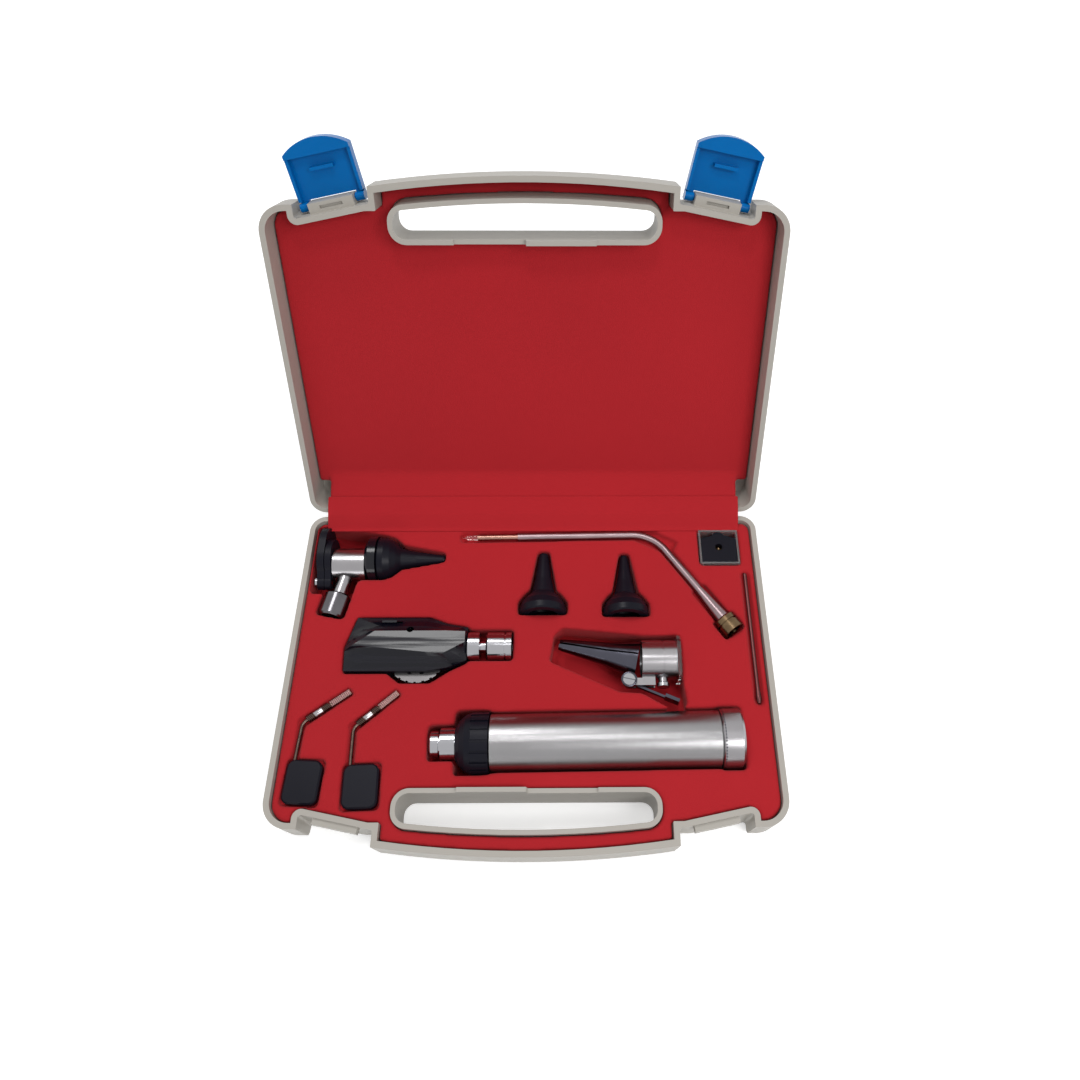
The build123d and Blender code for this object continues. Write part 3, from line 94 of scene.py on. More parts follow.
def smooth(obj, angle=35):
    """Smooth shading, with edges sharper than angle kept crisp."""
    pick(obj)
    bpy.ops.object.shade_smooth_by_angle(angle=radians(angle))


print("helpers ready")

# %% [markdown]
# ## Camera
# The case is seen from in front and from high up, so that both the tray and the
# raised lid show. The lens is a moderate wide angle, and a small shift puts the
# case a little left of and above the middle.

# %% The camera
EYE = Vector((0.02313, -0.15730, 0.46876))
ELEVATION, AZIMUTH, ROLL = radians(59.83), radians(0.91), radians(0.68)
FOCAL_PIXELS, PICTURE, SENSOR, CLIP_START = 851.54, 1080.0, 36, 0.01
CENTRE_X, CENTRE_Y = 579.13, 508.26

look = Vector((sin(AZIMUTH) * cos(ELEVATION), cos(AZIMUTH) * cos(ELEVATION), -sin(ELEVATION)))
right = look.cross(Vector((0, 0, 1))).normalized()
up = right.cross(look)
camera_right = right * cos(ROLL) + up * sin(ROLL)
camera_up = up * cos(ROLL) - right * sin(ROLL)

bpy.ops.object.camera_add()
camera = bpy.context.object
camera.name = "camera"
turn = Matrix((camera_right, camera_up, -look)).transposed()
camera.matrix_world = Matrix.Translation(EYE) @ turn.to_4x4()
camera.data.sensor_width = SENSOR
camera.data.lens = FOCAL_PIXELS / PICTURE * SENSOR
camera.data.shift_x = (PICTURE / 2 - CENTRE_X) / PICTURE
camera.data.shift_y = (CENTRE_Y - PICTURE / 2) / PICTURE
camera.data.clip_start = CLIP_START
bpy.context.scene.camera = camera
print("lens", round(camera.data.lens, 2), "mm")

# %% [markdown]
# ## Floor, light and background
# A plain pale floor takes the case's soft shadow. Four soft boxes light the set:
# the key from the front right, a small one overhead and a broad one behind, which
# draw the bright bands on the metal, and a low one that fills in the left. The
# world does the rest, and the camera sees it as plain white.

# %% Floor and lamps
FLOOR_SIZE, FLOOR_DROP = 2.6, 0.0004
LAMPS = {
    # name: (place, aim, size, power)
    "soft_box_key": ((0.55, -0.55, 0.95), (0.0, 0.06, 0.03), 0.5, 5.7),
    "soft_box_top": ((0.03, 0.03, 1.25), (0.0, 0.03, 0.0), 0.2, 1.6),
    "soft_box_back": ((-0.28, 0.52, 1.08), (-0.05, 0.0, 0.0), 0.34, 3.8),
    "soft_box_low": ((-0.45, -1.08, 0.2), (-0.08, 0.05, 0.04), 0.3, 0.75),
}
bpy.ops.object.select_all(action="DESELECT")
bpy.ops.mesh.primitive_plane_add(size=FLOOR_SIZE, location=(0, 0, -FLOOR_DROP))
floor = bpy.context.object
floor.name = "floor"


def lamp(name, place, aim, size, power):
    """A square soft box at place that looks at aim."""
    bpy.ops.object.light_add(type="AREA", location=place)
    made = bpy.context.object
    made.name = name
    made.data.shape = "SQUARE"
    made.data.size = size
    made.data.energy = power
    made.rotation_euler = (Vector(aim) - Vector(place)).to_track_quat("-Z", "Y").to_euler()


for name, setting in LAMPS.items():
    lamp(name, *setting)
print("lamps:", len(LAMPS))

# %% The world
WHITE_STRENGTH, FILL_STRENGTH, FILL_TINT = 1.0, 0.44, (0.96, 0.98, 1, 1)
world = bpy.data.worlds.new("studio")
bpy.context.scene.world = world
world.use_nodes = True
tree = world.node_tree
tree.nodes.clear()


def seen_directly(tree):
    """A value that is 1 for camera, glossy and transmission rays."""
    path = tree.nodes.new("ShaderNodeLightPath")
    total = path.outputs["Is Camera Ray"]
    for kind in ("Is Glossy Ray", "Is Transmission Ray"):
        step = tree.nodes.new("ShaderNodeMath")
        step.operation = "MAXIMUM"
        tree.links.new(total, step.inputs[0])
        tree.links.new(path.outputs[kind], step.inputs[1])
        total = step.outputs[0]
    return total


white = tree.nodes.new("ShaderNodeBackground")
white.inputs["Color"].default_value = (1, 1, 1, 1)
white.inputs["Strength"].default_value = WHITE_STRENGTH
fill = tree.nodes.new("ShaderNodeBackground")
fill.inputs["Color"].default_value = FILL_TINT
fill.inputs["Strength"].default_value = FILL_STRENGTH
choose = tree.nodes.new("ShaderNodeMixShader")
output = tree.nodes.new("ShaderNodeOutputWorld")
tree.links.new(seen_directly(tree), choose.inputs[0])
tree.links.new(fill.outputs[0], choose.inputs[1])
tree.links.new(white.outputs[0], choose.inputs[2])
tree.links.new(choose.outputs[0], output.inputs["Surface"])
bpy.context.scene.view_settings.view_transform = "Standard"
print("world fill:", FILL_STRENGTH)

# %% The floor's finish
PAPER_SHADE, PAPER_ROUGHNESS, FLOOR_GLOW = (0.93, 0.93, 0.93, 1), 0.9, 0.42
paper = bpy.data.materials.new("pale_floor")
paper.use_nodes = True
tree = paper.node_tree
shader = tree.nodes["Principled BSDF"]
shader.inputs["Base Color"].default_value = PAPER_SHADE
shader.inputs["Roughness"].default_value = PAPER_ROUGHNESS
shader.inputs["Emission Color"].default_value = (1, 1, 1, 1)
glow = tree.nodes.new("ShaderNodeMath")
glow.operation = "MULTIPLY"
glow.inputs[1].default_value = FLOOR_GLOW
tree.links.new(seen_directly(tree), glow.inputs[0])
tree.links.new(glow.outputs[0], shader.inputs["Emission Strength"])
floor.data.materials.append(paper)
print("floor glow:", FLOOR_GLOW)

# %% [markdown]
# ## Shared surface effects
# Most surfaces need the same few things: a fine grain, a slow drift of shade and
# a little unevenness in the gloss. They are built once as node groups, and each
# material gives them its own scale and strength.

# %% Group helpers
def new_group(name, inputs, outputs):
    """An empty shader group with named inputs and outputs."""
    group = bpy.data.node_groups.new(name, "ShaderNodeTree")
    for label, kind, value in inputs:
        socket = group.interface.new_socket(label, in_out="INPUT", socket_type=kind)
        socket.default_value = value
    for label, kind in outputs:
        group.interface.new_socket(label, in_out="OUTPUT", socket_type=kind)
    start = group.nodes.new("NodeGroupInput")
    end = group.nodes.new("NodeGroupOutput")
    return group, start, end


def math(tree, kind, a, b=None, clamp=False):
    """One Math node; a and b are sockets or numbers. Gives its output."""
    node = tree.nodes.new("ShaderNodeMath")
    node.operation = kind
    node.use_clamp = clamp
    for socket, value in zip(node.inputs, (a, b)):
        if isinstance(value, (int, float)):
            socket.default_value = value
        elif value is not None:
            tree.links.new(value, socket)
    return node.outputs[0]


def noise(tree, scale, detail=3.0, where=None):
    """A noise pattern in object space. Gives its value."""
    node = tree.nodes.new("ShaderNodeTexNoise")
    node.inputs["Detail"].default_value = detail
    if isinstance(scale, (int, float)):
        node.inputs["Scale"].default_value = scale
    else:
        tree.links.new(scale, node.inputs["Scale"])
    if where is None:
        where = tree.nodes.new("ShaderNodeTexCoord").outputs["Object"]
    tree.links.new(where, node.inputs["Vector"])
    return node.outputs["Fac"]


print("group helpers ready")

# %% The drift of shade and gloss, and the grain
FINER = 3.1  # how much smaller the second grain is than the first
drift, start, end = new_group(
    "shade_drift",
    [("Color", "NodeSocketColor", (1, 1, 1, 1)), ("Scale", "NodeSocketFloat", 20.0),
     ("Amount", "NodeSocketFloat", 0.1), ("Roughness", "NodeSocketFloat", 0.4),
     ("Rough Amount", "NodeSocketFloat", 0.1)],
    [("Color", "NodeSocketColor"), ("Roughness", "NodeSocketFloat")],
)
slow = noise(drift, start.outputs["Scale"], 4.0)
centred = math(drift, "SUBTRACT", slow, 0.5)
shade = math(drift, "ADD", math(drift, "MULTIPLY", centred, start.outputs["Amount"]), 1.0)
scaled = drift.nodes.new("ShaderNodeVectorMath")
scaled.operation = "SCALE"
drift.links.new(start.outputs["Color"], scaled.inputs[0])
drift.links.new(shade, scaled.inputs["Scale"])
drift.links.new(scaled.outputs[0], end.inputs["Color"])
gloss = math(drift, "MULTIPLY", centred, start.outputs["Rough Amount"])
rough = math(drift, "ADD", gloss, start.outputs["Roughness"], clamp=True)
drift.links.new(rough, end.inputs["Roughness"])

grain, start, end = new_group(
    "fine_grain",
    [("Scale", "NodeSocketFloat", 2000.0), ("Fine Share", "NodeSocketFloat", 0.5)],
    [("Height", "NodeSocketFloat")],
)
coarse = noise(grain, start.outputs["Scale"], 2.0)
finer = noise(grain, math(grain, "MULTIPLY", start.outputs["Scale"], FINER), 1.0)
mixed = math(grain, "MULTIPLY", finer, start.outputs["Fine Share"])
grain.links.new(math(grain, "ADD", coarse, mixed), end.inputs["Height"])
print("groups:", [g.name for g in bpy.data.node_groups])


# %% A material from those groups
def finish(name, color, roughness, metallic=0.0, drift_scale=25.0, drift_amount=0.1,
           rough_amount=0.1, grain_scale=2500.0, bump=0.1, bump_depth=0.0001, more=None):
    """A material with drifting shade and gloss and a fine grain.

    more holds values for other sockets of its shader, by name.
    """
    material = bpy.data.materials.new(name)
    material.use_nodes = True
    tree = material.node_tree
    shader = tree.nodes["Principled BSDF"]
    shader.inputs["Metallic"].default_value = metallic
    for label, value in (more or {}).items():
        shader.inputs[label].default_value = value
    vary = tree.nodes.new("ShaderNodeGroup")
    vary.node_tree = drift
    vary.inputs["Color"].default_value = (*color, 1)
    vary.inputs["Scale"].default_value = drift_scale
    vary.inputs["Amount"].default_value = drift_amount
    vary.inputs["Roughness"].default_value = roughness
    vary.inputs["Rough Amount"].default_value = rough_amount
    tree.links.new(vary.outputs["Color"], shader.inputs["Base Color"])
    tree.links.new(vary.outputs["Roughness"], shader.inputs["Roughness"])
    texture = tree.nodes.new("ShaderNodeGroup")
    texture.node_tree = grain
    texture.inputs["Scale"].default_value = grain_scale
    dent = tree.nodes.new("ShaderNodeBump")
    dent.inputs["Strength"].default_value = bump
    dent.inputs["Distance"].default_value = bump_depth
    tree.links.new(texture.outputs["Height"], dent.inputs["Height"])
    tree.links.new(dent.outputs["Normal"], shader.inputs["Normal"])
    return material


print("finish ready, from", drift.name, "and", grain.name)

# %% [markdown]
# ## Finishes
# The case is grey-beige polypropylene with a fine spark-eroded grain. The foam is
# flocked, which gives it a soft, even red with a faint sheen. Metal parts are
# plated and polished, the handle is satin metal with a fine knurl, and the
# specula and mirror backs are plain black plastic.

# %% Plastics
case_plastic = finish(
    "case_plastic", (0.40, 0.375, 0.335), 0.46, drift_scale=14, drift_amount=0.10,
    rough_amount=0.15, grain_scale=1900, bump=0.25, more={"Specular IOR Level": 0.35},
)
latch_blue = finish(
    "latch_blue", (0.0004, 0.128, 0.4), 0.2, drift_scale=40, drift_amount=0.3,
    rough_amount=0.12, grain_scale=900, bump=0.14,
    more={"Specular IOR Level": 0.08, "Subsurface Weight": 0.12,
          "Subsurface Radius": (0.2, 0.6, 1.0), "Subsurface Scale": 0.002},
)
black_plastic = finish(
    "black_plastic", (0.006, 0.006, 0.011), 0.36, drift_amount=0.3, rough_amount=0.2,
    bump=0.12, more={"Specular IOR Level": 0.12},
)
gloss_black = finish(
    "gloss_black", (0.005, 0.005, 0.009), 0.16, drift_amount=0.3, rough_amount=0.2,
    grain_scale=420, bump=0.16, more={"Specular IOR Level": 0.3},
)
clear_plastic = finish(
    "clear_plastic", (0.9, 0.9, 0.9), 0.08, drift_amount=0.04, bump=0.02,
    more={"Transmission Weight": 0.9, "IOR": 1.49},
)
cell_jacket = finish("cell_jacket", (0.04, 0.05, 0.06), 0.35)
print("plastics done, materials:", len(bpy.data.materials))

# %% [markdown]
# ### The ophthalmoscope's shell
# Its long flat ridge was drawn from the mould lengthwise, so its gloss comes in
# streaks. A noise that is stretched along the head sets how rough each streak is.

# %% The streaked black shell
STREAK_SCALE, STREAK_STRETCH = 300, (0.05, 1, 1)
STREAK_RANGE = {"From Min": 0.4, "From Max": 0.62, "To Min": 0.1, "To Max": 0.6}
shell_black = finish(
    "shell_black", (0.003, 0.003, 0.007), 0.2, drift_amount=0.3, grain_scale=420, bump=0.1,
    more={"Specular IOR Level": 0.28},
)
tree = shell_black.node_tree
stretch = tree.nodes.new("ShaderNodeMapping")
stretch.inputs["Scale"].default_value = STREAK_STRETCH
tree.links.new(tree.nodes.new("ShaderNodeTexCoord").outputs["Object"], stretch.inputs["Vector"])
spread = tree.nodes.new("ShaderNodeMapRange")
for label, value in STREAK_RANGE.items():
    spread.inputs[label].default_value = value
tree.links.new(noise(tree, STREAK_SCALE, 2.0, stretch.outputs[0]), spread.inputs["Value"])
tree.links.new(spread.outputs[0], tree.nodes["Principled BSDF"].inputs["Roughness"])
print("shell roughness from", STREAK_RANGE["To Min"], "to", STREAK_RANGE["To Max"])

# %% [markdown]
# ### Plated and bare metals
# Chrome plate, brass and steel differ in tint and in how sharp their reflections
# are. One helper makes them all, so each takes a single line of numbers. Their
# colours are dark, because polished metal shows what is round it, and that is white.

# %% Metals
def metal(name, color, roughness, drift_scale=25.0, drift_amount=0.1, rough_amount=0.1,
          grain_scale=2500.0, bump=0.1):
    """A plated or bare metal."""
    return finish(name, color, roughness, 1.0, drift_scale, drift_amount, rough_amount,
                  grain_scale, bump)


# name, colour, roughness, drift scale, drift amount, rough amount, grain scale, bump
chrome = metal("chrome", (0.38, 0.38, 0.40), 0.13, 60, 0.12, 0.12, 700, 0.05)
dark_steel = metal("dark_steel", (0.075, 0.075, 0.095), 0.2, 90, 0.5, 0.15, 600, 0.08)
dark_chrome = metal("dark_chrome", (0.13, 0.125, 0.135), 0.2, 110, 0.8, 0.15, 700, 0.08)
# The arm's grey is the metal's own; its pink tint is a painted reflection of the red foam.
arm_metal_painted_foam_reflection = metal("arm_metal_painted_foam_reflection", (0.27, 0.2, 0.21), 0.3, 70, 0.35, 0.15, 900, 0.08)
stem_metal = metal("stem_metal", (0.09, 0.06, 0.05), 0.3, 260, 0.9, 0.2, 900, 0.15)
# The strip's grey is the metal's own; its pink tint is a painted reflection of the red foam.
strip_metal_painted_foam_reflection = metal("strip_metal_painted_foam_reflection", (0.24, 0.125, 0.13), 0.4, 200, 0.3, 0.15, 2500, 0.1)
dial_metal = metal("dial_metal", (0.1, 0.096, 0.098), 0.36, 90, 0.25, 0.15, bump=0.08)
pin_steel = metal("pin_steel", (0.45, 0.45, 0.46), 0.3, bump=0.06)
brass = metal("brass", (0.52, 0.36, 0.17), 0.24, 80, 0.35, bump=0.05)
old_brass = metal("old_brass", (0.15, 0.1, 0.055), 0.26, 230, 1.0, 0.25, 700, 0.2)
pale_brass = metal("pale_brass", (0.34, 0.19, 0.15), 0.28, 120, 0.5, bump=0.06)
# The rod's dark tone is the metal's own; its red tint is a painted reflection of the red foam.
rod_metal_painted_foam_reflection = metal("rod_metal_painted_foam_reflection", (0.12, 0.045, 0.045), 0.36, 120, 0.4, bump=0.06)
cap_metal = metal("cap_metal", (0.32, 0.31, 0.32), 0.24, 60, 0.2, bump=0.06)
print("metals done, materials:", len(bpy.data.materials))

# %% [markdown]
# ### Lenses and mirrors
# A lens could be a coat of gloss over a tint, but here it is a solid, so light is
# let through it and bent as glass bends it. A throat mirror is silvered glass, and
# a metal that is almost perfectly smooth looks the same.

# %% Glass and mirrors
clear_glass = finish(
    "clear_glass", (0.95, 0.97, 0.97), 0.03, drift_amount=0.02, rough_amount=0.02, bump=0.01,
    more={"Transmission Weight": 1.0, "IOR": 1.5},
)
mirror_glass = finish(
    "mirror_glass", (0.88, 0.89, 0.9), 0.02, metallic=1.0, drift_amount=0.02,
    rough_amount=0.02, bump=0.01,
)
print("made", clear_glass.name, "and", mirror_glass.name)

# %% [markdown]
# ### The handle's knurl
# The tube is rolled with two sets of fine helical grooves that cross. They are
# waves over the angle round the tube's axis plus or minus the distance along it,
# and the lower of the two is the height at each point.

# %% The crossed grooves
knurl, start, end = new_group(
    "crossed_knurl",
    [("Vector", "NodeSocketVector", (0, 0, 0)), ("Pitch", "NodeSocketFloat", 0.001),
     ("Radius", "NodeSocketFloat", 0.015)],
    [("Height", "NodeSocketFloat")],
)
parts = knurl.nodes.new("ShaderNodeSeparateXYZ")
knurl.links.new(start.outputs["Vector"], parts.inputs[0])
angle = math(knurl, "ARCTAN2", parts.outputs["Z"], parts.outputs["Y"])
around = math(knurl, "MULTIPLY", angle, start.outputs["Radius"])
waves = []
for sign in (1.0, -1.0):
    slanted = math(knurl, "ADD", around, math(knurl, "MULTIPLY", parts.outputs["X"], sign))
    grooves = math(knurl, "DIVIDE", slanted, start.outputs["Pitch"])
    turns = math(knurl, "MULTIPLY", grooves, 2 * pi)
    waves.append(math(knurl, "SINE", turns))
knurl.links.new(math(knurl, "MINIMUM", *waves), end.inputs["Height"])
print("crossed waves:", len(waves))

# %% The knurled metal
GRIP_PLACE, GRIP_TURN, GRIP_R = (-0.0519, -0.0396, 0.020), radians(0.8), 0.015
KNURL_PITCH, KNURL_STRENGTH, KNURL_DEPTH = 0.0011, 0.12, 0.00015


def knurled(name, color, roughness, pitch, origin, angle_z, radius):
    """A metal with a crossed knurl round an axis through origin."""
    material = metal(name, color, roughness, 30, 0.08, 0.1, 4000, 0.05)
    tree = material.node_tree
    normal = tree.nodes["Principled BSDF"].inputs["Normal"]
    place = tree.nodes.new("ShaderNodeMapping")
    place.vector_type = "TEXTURE"
    place.inputs["Location"].default_value = origin
    place.inputs["Rotation"].default_value = (0, 0, angle_z)
    where = tree.nodes.new("ShaderNodeTexCoord").outputs["Object"]
    tree.links.new(where, place.inputs["Vector"])
    rolled = tree.nodes.new("ShaderNodeGroup")
    rolled.node_tree = knurl
    rolled.inputs["Pitch"].default_value = pitch
    rolled.inputs["Radius"].default_value = radius
    tree.links.new(place.outputs[0], rolled.inputs["Vector"])
    dent = tree.nodes.new("ShaderNodeBump")
    dent.inputs["Strength"].default_value = KNURL_STRENGTH
    dent.inputs["Distance"].default_value = KNURL_DEPTH
    tree.links.new(rolled.outputs["Height"], dent.inputs["Height"])
    tree.links.new(normal.links[0].from_socket, dent.inputs["Normal"])
    tree.links.new(dent.outputs["Normal"], normal)
    return material


handle_metal = knurled("handle_metal", (0.28, 0.275, 0.28), 0.25, KNURL_PITCH, GRIP_PLACE,
                       GRIP_TURN, GRIP_R)
print("knurl pitch", round(KNURL_PITCH * 1000, 2), "mm")

# %% [markdown]
# ### The flock
# Flock is short fibre glued on end. Real hairs would be far too many for a slab of
# this size, so a rough red with a fine bump stands for the nap, and a little sheen
# gives it the pale bloom that fibres have at a low angle.

# %% The flocked foam
flock_red = finish(
    "flock_red", (0.415, 0.0125, 0.0185), 0.85, drift_scale=9, drift_amount=0.2,
    rough_amount=0.05, grain_scale=2600, bump=0.5, bump_depth=0.0003,
    more={"Sheen Weight": 0.15, "Sheen Roughness": 0.5, "Sheen Tint": (1.0, 0.45, 0.45, 1),
          "Specular IOR Level": 0.2},
)
print("materials:", len(bpy.data.materials))

# %% [markdown]
# ## Finishes on the engineering parts
# The engineering parts keep their shapes, and only their material slots are filled.
# It could be done part by part, but one table with every part under its finish
# shows at a glance what is made of what.

# %% Give the engineering parts their finishes
FINISHES = {
    case_plastic: ("base_shell", "lid_shell"),
    latch_blue: ("latch_left", "latch_right"),
    pin_steel: ("hinge_pins", "battery_spring"),
    black_plastic: (
        "window_frame", "otoscope_back_plate", "ear_speculum", "switch_collar",
        "aperture_selector", "brow_rest", "spare_speculum_wide", "spare_speculum_narrow",
        "mirror_left_cup", "mirror_right_cup", "bulb_holder",
    ),
    gloss_black: ("speculum_carrier",),
    shell_black: ("ophthalmoscope_cover", "ophthalmoscope_body"),
    chrome: (
        "window_pivot_pin", "handle_connector", "ophthalmoscope_neck", "ophthalmoscope_socket",
        "nasal_socket", "nasal_thumb_screw",
    ),
    dark_chrome: ("otoscope_socket",),
    dial_metal: ("lens_dial",),
    dark_steel: ("nasal_fixed_blade", "nasal_moving_blade"),
    arm_metal_painted_foam_reflection: ("arm_tube",),
    rod_metal_painted_foam_reflection: ("probe_rod",),
    pale_brass: ("arm_sleeve",),
    stem_metal: ("mirror_left_stem", "mirror_right_stem"),
    handle_metal: ("handle_tube",),
    cap_metal: ("handle_end_cap", "otoscope_barrel", "nasal_barrel"),
    brass: ("otoscope_bulb", "contact_pin", "ophthalmoscope_bulb"),
    old_brass: ("arm_plug", "spare_bulb"),
    clear_glass: ("window_lens", "dial_lenses", "nasal_lens", "arm_lamp"),
    mirror_glass: ("mirror_left_glass", "mirror_right_glass"),
    clear_plastic: ("bulb_box",),
    cell_jacket: ("battery_cells",),
    flock_red: ("base_foam", "lid_lining"),
}
for material, names in FINISHES.items():
    for name in names:
        for slot in nodes[name].material_slots:
            slot.material = material
print("finished nodes:", sum(len(names) for names in FINISHES.values()))

# %% [markdown]
# ## The foam tray
# The tray is a slab of dense foam, die-cut for each instrument and flocked. Its
# cut edges are never sharp, so the plain slab is rebuilt as an even fine skin of
# small faces, and relaxed until its edges are rounded. A cloth simulation would
# swell it, and foam as dense as this stays flat.

# %% The soft foam pieces
WELD, SMOOTH_FACTOR, SMOOTH_PASSES, KEPT_SHARE, SOFT_ANGLE = 0.000005, 0.5, 3, 0.35, 60
TRAY_VOXEL, LID_VOXEL = 0.0011, 0.0013


def soften(node, name, voxel):
    """A soft copy of a foam node, as a skin of voxel-sized faces with rounded edges."""
    copy = nodes[node].copy()
    copy.data = nodes[node].data.copy()
    copy.name = name
    bpy.context.scene.collection.objects.link(copy)
    copy.parent = None
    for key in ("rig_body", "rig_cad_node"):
        if key in copy:
            del copy[key]
    pick(copy)
    bpy.ops.object.mode_set(mode="EDIT")
    bpy.ops.mesh.select_all(action="SELECT")
    bpy.ops.mesh.remove_doubles(threshold=WELD)
    bpy.ops.object.mode_set(mode="OBJECT")
    skin = copy.modifiers.new("skin", "REMESH")
    skin.mode = "VOXEL"
    skin.voxel_size = voxel
    relax = copy.modifiers.new("relax", "SMOOTH")
    relax.factor = SMOOTH_FACTOR
    relax.iterations = SMOOTH_PASSES
    thin = copy.modifiers.new("thin", "DECIMATE")
    thin.ratio = KEPT_SHARE
    apply_all(copy)
    copy.data.materials.clear()
    copy.data.materials.append(flock_red)
    smooth(copy, SOFT_ANGLE)
    print(name, len(copy.data.polygons), "faces")
    return copy


foam_tray = soften("base_foam", "foam_tray", TRAY_VOXEL)
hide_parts("base_foam")
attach(foam_tray, "base")
lid_felt = soften("lid_lining", "lid_felt", LID_VOXEL)
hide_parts("lid_lining")
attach(lid_felt, "lid")

# %% [markdown]
# ## The felt over the hinge
# The lining runs on from the tray to the lid as one strip, glued down on both
# sides, so it has to bend as the lid turns. A grid is laid along the strip's
# section: flat on the tray, straight up to the hinge knuckles, round them, and
# straight on to the lid's felt. Then it gets its thickness.

# %% The strip's section
lid_joint = next(joint for joint in frame["joints"] if joint["name"] == "lid_hinge")
HINGE, LID_OPEN = Vector(lid_joint["pos_m"]), radians(-lid_joint["range_deg"][0])
STRIP_HALF, STRIP_THICK, KNUCKLE_RADIUS = 0.1225, 0.0005, 0.00345
TRAY_END, LID_END, TRAY_LAP = (0.0088, -0.00165), (0.0105, -0.0037), 0.002
ARC_STEPS, STEPS, COLUMNS = 6, 24, 80


def strip_section(steps):
    """Points (y, z) along the strip, from the tray to the lid."""
    tray = Vector((-TRAY_END[0], TRAY_END[1]))
    along = Vector((-cos(LID_OPEN), sin(LID_OPEN)))
    out = Vector((-sin(LID_OPEN), -cos(LID_OPEN)))
    lid = along * LID_END[0] + out * LID_END[1]
    turns = []
    for point, side in ((tray, -1), (lid, 1)):
        spread = KNUCKLE_RADIUS / point.length
        toward = atan2(point.y, point.x) % (2 * pi)
        turns.append(toward + side * atan2((1 - spread**2) ** 0.5, spread))
    first, last = turns
    arc = [first + (last - first) * i / ARC_STEPS for i in range(ARC_STEPS + 1)]
    corners = [tray + Vector((-TRAY_LAP, 0)), tray]
    corners += [Vector((cos(a), sin(a))) * KNUCKLE_RADIUS for a in arc]
    corners += [lid]
    lengths = [0.0]
    for a, b in zip(corners, corners[1:]):
        lengths.append(lengths[-1] + (b - a).length)
    points = []
    for step in range(steps + 1):
        reach = lengths[-1] * step / steps
        k = max(i for i in range(len(corners) - 1) if lengths[i] <= reach + 1e-12)
        share = (reach - lengths[k]) / (lengths[k + 1] - lengths[k])
        points.append(corners[k].lerp(corners[k + 1], min(share, 1.0)))
    return points, lengths[-1]


section, strip_length = strip_section(STEPS)
print("strip section", round(strip_length * 1000, 1), "mm long")

# %% The strip's mesh
EASE_PASSES = 2
bpy.ops.object.select_all(action="DESELECT")
bpy.ops.mesh.primitive_grid_add(x_subdivisions=COLUMNS, y_subdivisions=STEPS, size=1)
hinge_felt = bpy.context.object
hinge_felt.name = "hinge_felt"
for vertex in hinge_felt.data.vertices:
    point = section[round((vertex.co.y + 0.5) * STEPS)]
    vertex.co = Vector((vertex.co.x * 2 * STRIP_HALF, HINGE.y + point.x, HINGE.z + point.y))
ease = hinge_felt.modifiers.new("ease", "SMOOTH")
ease.factor, ease.iterations = SMOOTH_FACTOR, EASE_PASSES
wall = hinge_felt.modifiers.new("wall", "SOLIDIFY")
wall.thickness, wall.offset = STRIP_THICK, 0.0
rounded = hinge_felt.modifiers.new("rounded", "SUBSURF")
rounded.levels = rounded.render_levels = 1
apply_all(hinge_felt)
hinge_felt.data.materials.append(flock_red)
smooth(hinge_felt, SOFT_ANGLE)
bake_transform(hinge_felt)
print("hinge felt", len(hinge_felt.data.polygons), "faces")

# %% [markdown]
# ## Turned and pressed details
# The nasal speculum's thumb screw and the handle's end cap carry a toothed ring
# for the fingers to grip. Each mirror's stem ends in a crimped ferrule and a
# corrugated strip that springs into its handle. They are turned from a torus
# with waves round its rim, and pressed rows made with an array.

# %% Setting a piece in place
def settle(piece, place, turn, material, body):
    """Turns piece and moves it to place for good, and gives its finish and its body."""
    pick(piece)
    bpy.ops.object.transform_apply(location=True, rotation=True, scale=True)
    apply_all(piece)
    piece.rotation_euler, piece.location = turn, place
    bpy.ops.object.transform_apply(location=True, rotation=True, scale=True)
    piece.data.materials.append(material)
    smooth(piece)
    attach(piece, body)
    print(piece.name, len(piece.data.polygons), "faces, rides", body)


print("settle ready")

# %% Toothed rings
RING_THICKNESS, TOOTH_DEPTH, STEPS_A_TOOTH, RING_SIDES = 0.0006, 0.00012, 4, 8


def toothed_ring(name, radius, teeth, place, turn, body):
    """A ring with rounded teeth round its rim."""
    bpy.ops.object.select_all(action="DESELECT")
    bpy.ops.mesh.primitive_torus_add(major_radius=radius, minor_radius=RING_THICKNESS,
                                     major_segments=teeth * STEPS_A_TOOTH,
                                     minor_segments=RING_SIDES)
    ring = bpy.context.object
    ring.name = name
    for vertex in ring.data.vertices:
        angle = atan2(vertex.co.y, vertex.co.x)
        reach = hypot(vertex.co.x, vertex.co.y) + TOOTH_DEPTH * cos(teeth * angle)
        vertex.co.x, vertex.co.y = reach * cos(angle), reach * sin(angle)
    settle(ring, place, turn, dark_steel, body)


CAP_GRIP, CAP_RING_R, CAP_TEETH = 0.1535, 0.01528, 60
SCREW_SPOT, SCREW_RING_R, SCREW_TEETH = (0.0536, -0.0064, 0.0260), 0.0038, 24
grip_spot = Vector(GRIP_PLACE) + Vector((cos(GRIP_TURN), sin(GRIP_TURN), 0)) * CAP_GRIP
toothed_ring("end_cap_grip", CAP_RING_R, CAP_TEETH, grip_spot, (0, pi / 2, GRIP_TURN), "end_cap")
toothed_ring("thumb_screw_grip", SCREW_RING_R, SCREW_TEETH, SCREW_SPOT, (0, 0, 0), "nasal_screw")

# %% [markdown]
# ### The mirrors' stems
# A thin strip pressed into ribs, a bright sleeve and two crimped stretches lie end
# to end along each stem. All four could be cut from one bar, but each has a plain
# shape of its own, so each is made once and a row repeats its ribs or rings.

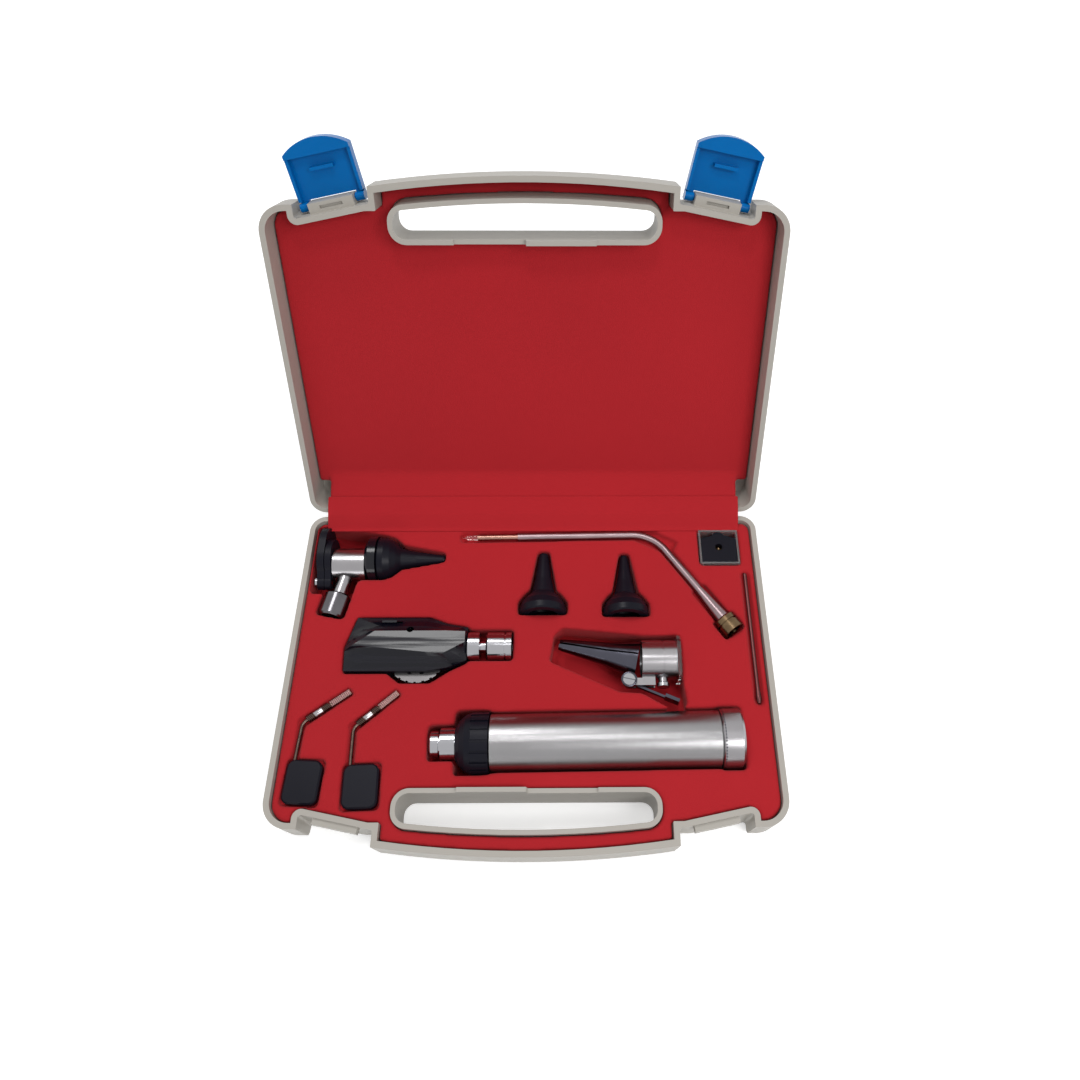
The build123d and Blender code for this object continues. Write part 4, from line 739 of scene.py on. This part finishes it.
# %% Sizes and helpers for the stems
CLIP, CLIP_TURN, STEM_Z = Vector((0.0072, 0.0416, 0)), radians(39.2), 0.0224
MIRRORS = {"left": ((-0.1146, -0.0594), -3.0), "right": ((-0.0848, -0.0616), 2.0)}
RIB, RIBS, RIB_STEP, RIB_EDGE, FIRST_RIB = (0.0006, 0.0032, 0.00145), 12, 0.00098, 0.00015, 0.0006
FERRULE_R, FERRULE_LONG, FERRULE_EDGE, FERRULE_BACK = 0.00178, 0.0052, 0.0003, 0.0082
CRIMP_R, CRIMP_THICK, CRIMP_TILT, CRIMPS, CRIMP_STEP = 0.0015, 0.00048, radians(16), 5, 0.00085
CRIMP_BACK = {"lower": 0.0142, "upper": 0.0052}
FERRULE_SIDES, CRIMP_SEGMENTS, CRIMP_SIDES = 32, 24, 10


def named(name):
    """Names the piece that was just made, and gives it."""
    made = bpy.context.object
    made.name = name
    return made


def row(piece, count, step):
    """Repeats piece along its X axis."""
    more = piece.modifiers.new("row", "ARRAY")
    more.count, more.use_relative_offset, more.use_constant_offset = count, False, True
    more.constant_offset_displace = (step, 0, 0)


def bevel(piece, width, segments):
    """Rounds the edges of piece."""
    edge = piece.modifiers.new("edge", "BEVEL")
    edge.width, edge.segments = width, segments


print("stem helpers ready, mirrors:", list(MIRRORS))

# %% The strips, ferrules and crimps
for side, (spot, lean) in MIRRORS.items():
    body = f"{side}_mirror"
    corner = Vector((*spot, STEM_Z)) + Matrix.Rotation(radians(lean), 3, "Z") @ CLIP
    turn = radians(lean) + CLIP_TURN
    along = Vector((cos(turn), sin(turn), 0))
    bpy.ops.object.select_all(action="DESELECT")
    bpy.ops.mesh.primitive_cube_add(size=1, scale=RIB)
    strip = named(f"mirror_{side}_strip")
    bevel(strip, RIB_EDGE, 2)
    row(strip, RIBS, RIB_STEP)
    settle(strip, corner - along * FIRST_RIB, (0, 0, turn), strip_metal_painted_foam_reflection, body)
    bpy.ops.object.select_all(action="DESELECT")
    bpy.ops.mesh.primitive_cylinder_add(vertices=FERRULE_SIDES, radius=FERRULE_R,
                                        depth=FERRULE_LONG, rotation=(0, pi / 2, 0))
    ferrule = named(f"mirror_{side}_ferrule")
    bevel(ferrule, FERRULE_EDGE, 3)
    settle(ferrule, corner - along * FERRULE_BACK, (0, 0, turn), cap_metal, body)
    for name, back in CRIMP_BACK.items():
        bpy.ops.object.select_all(action="DESELECT")
        bpy.ops.mesh.primitive_torus_add(
            major_radius=CRIMP_R, minor_radius=CRIMP_THICK, major_segments=CRIMP_SEGMENTS,
            minor_segments=CRIMP_SIDES, rotation=(0, pi / 2, CRIMP_TILT),
        )
        crimp = named(f"mirror_{side}_{name}_crimp")
        row(crimp, CRIMPS, CRIMP_STEP)
        settle(crimp, corner - along * back, (0, 0, turn), stem_metal, body)
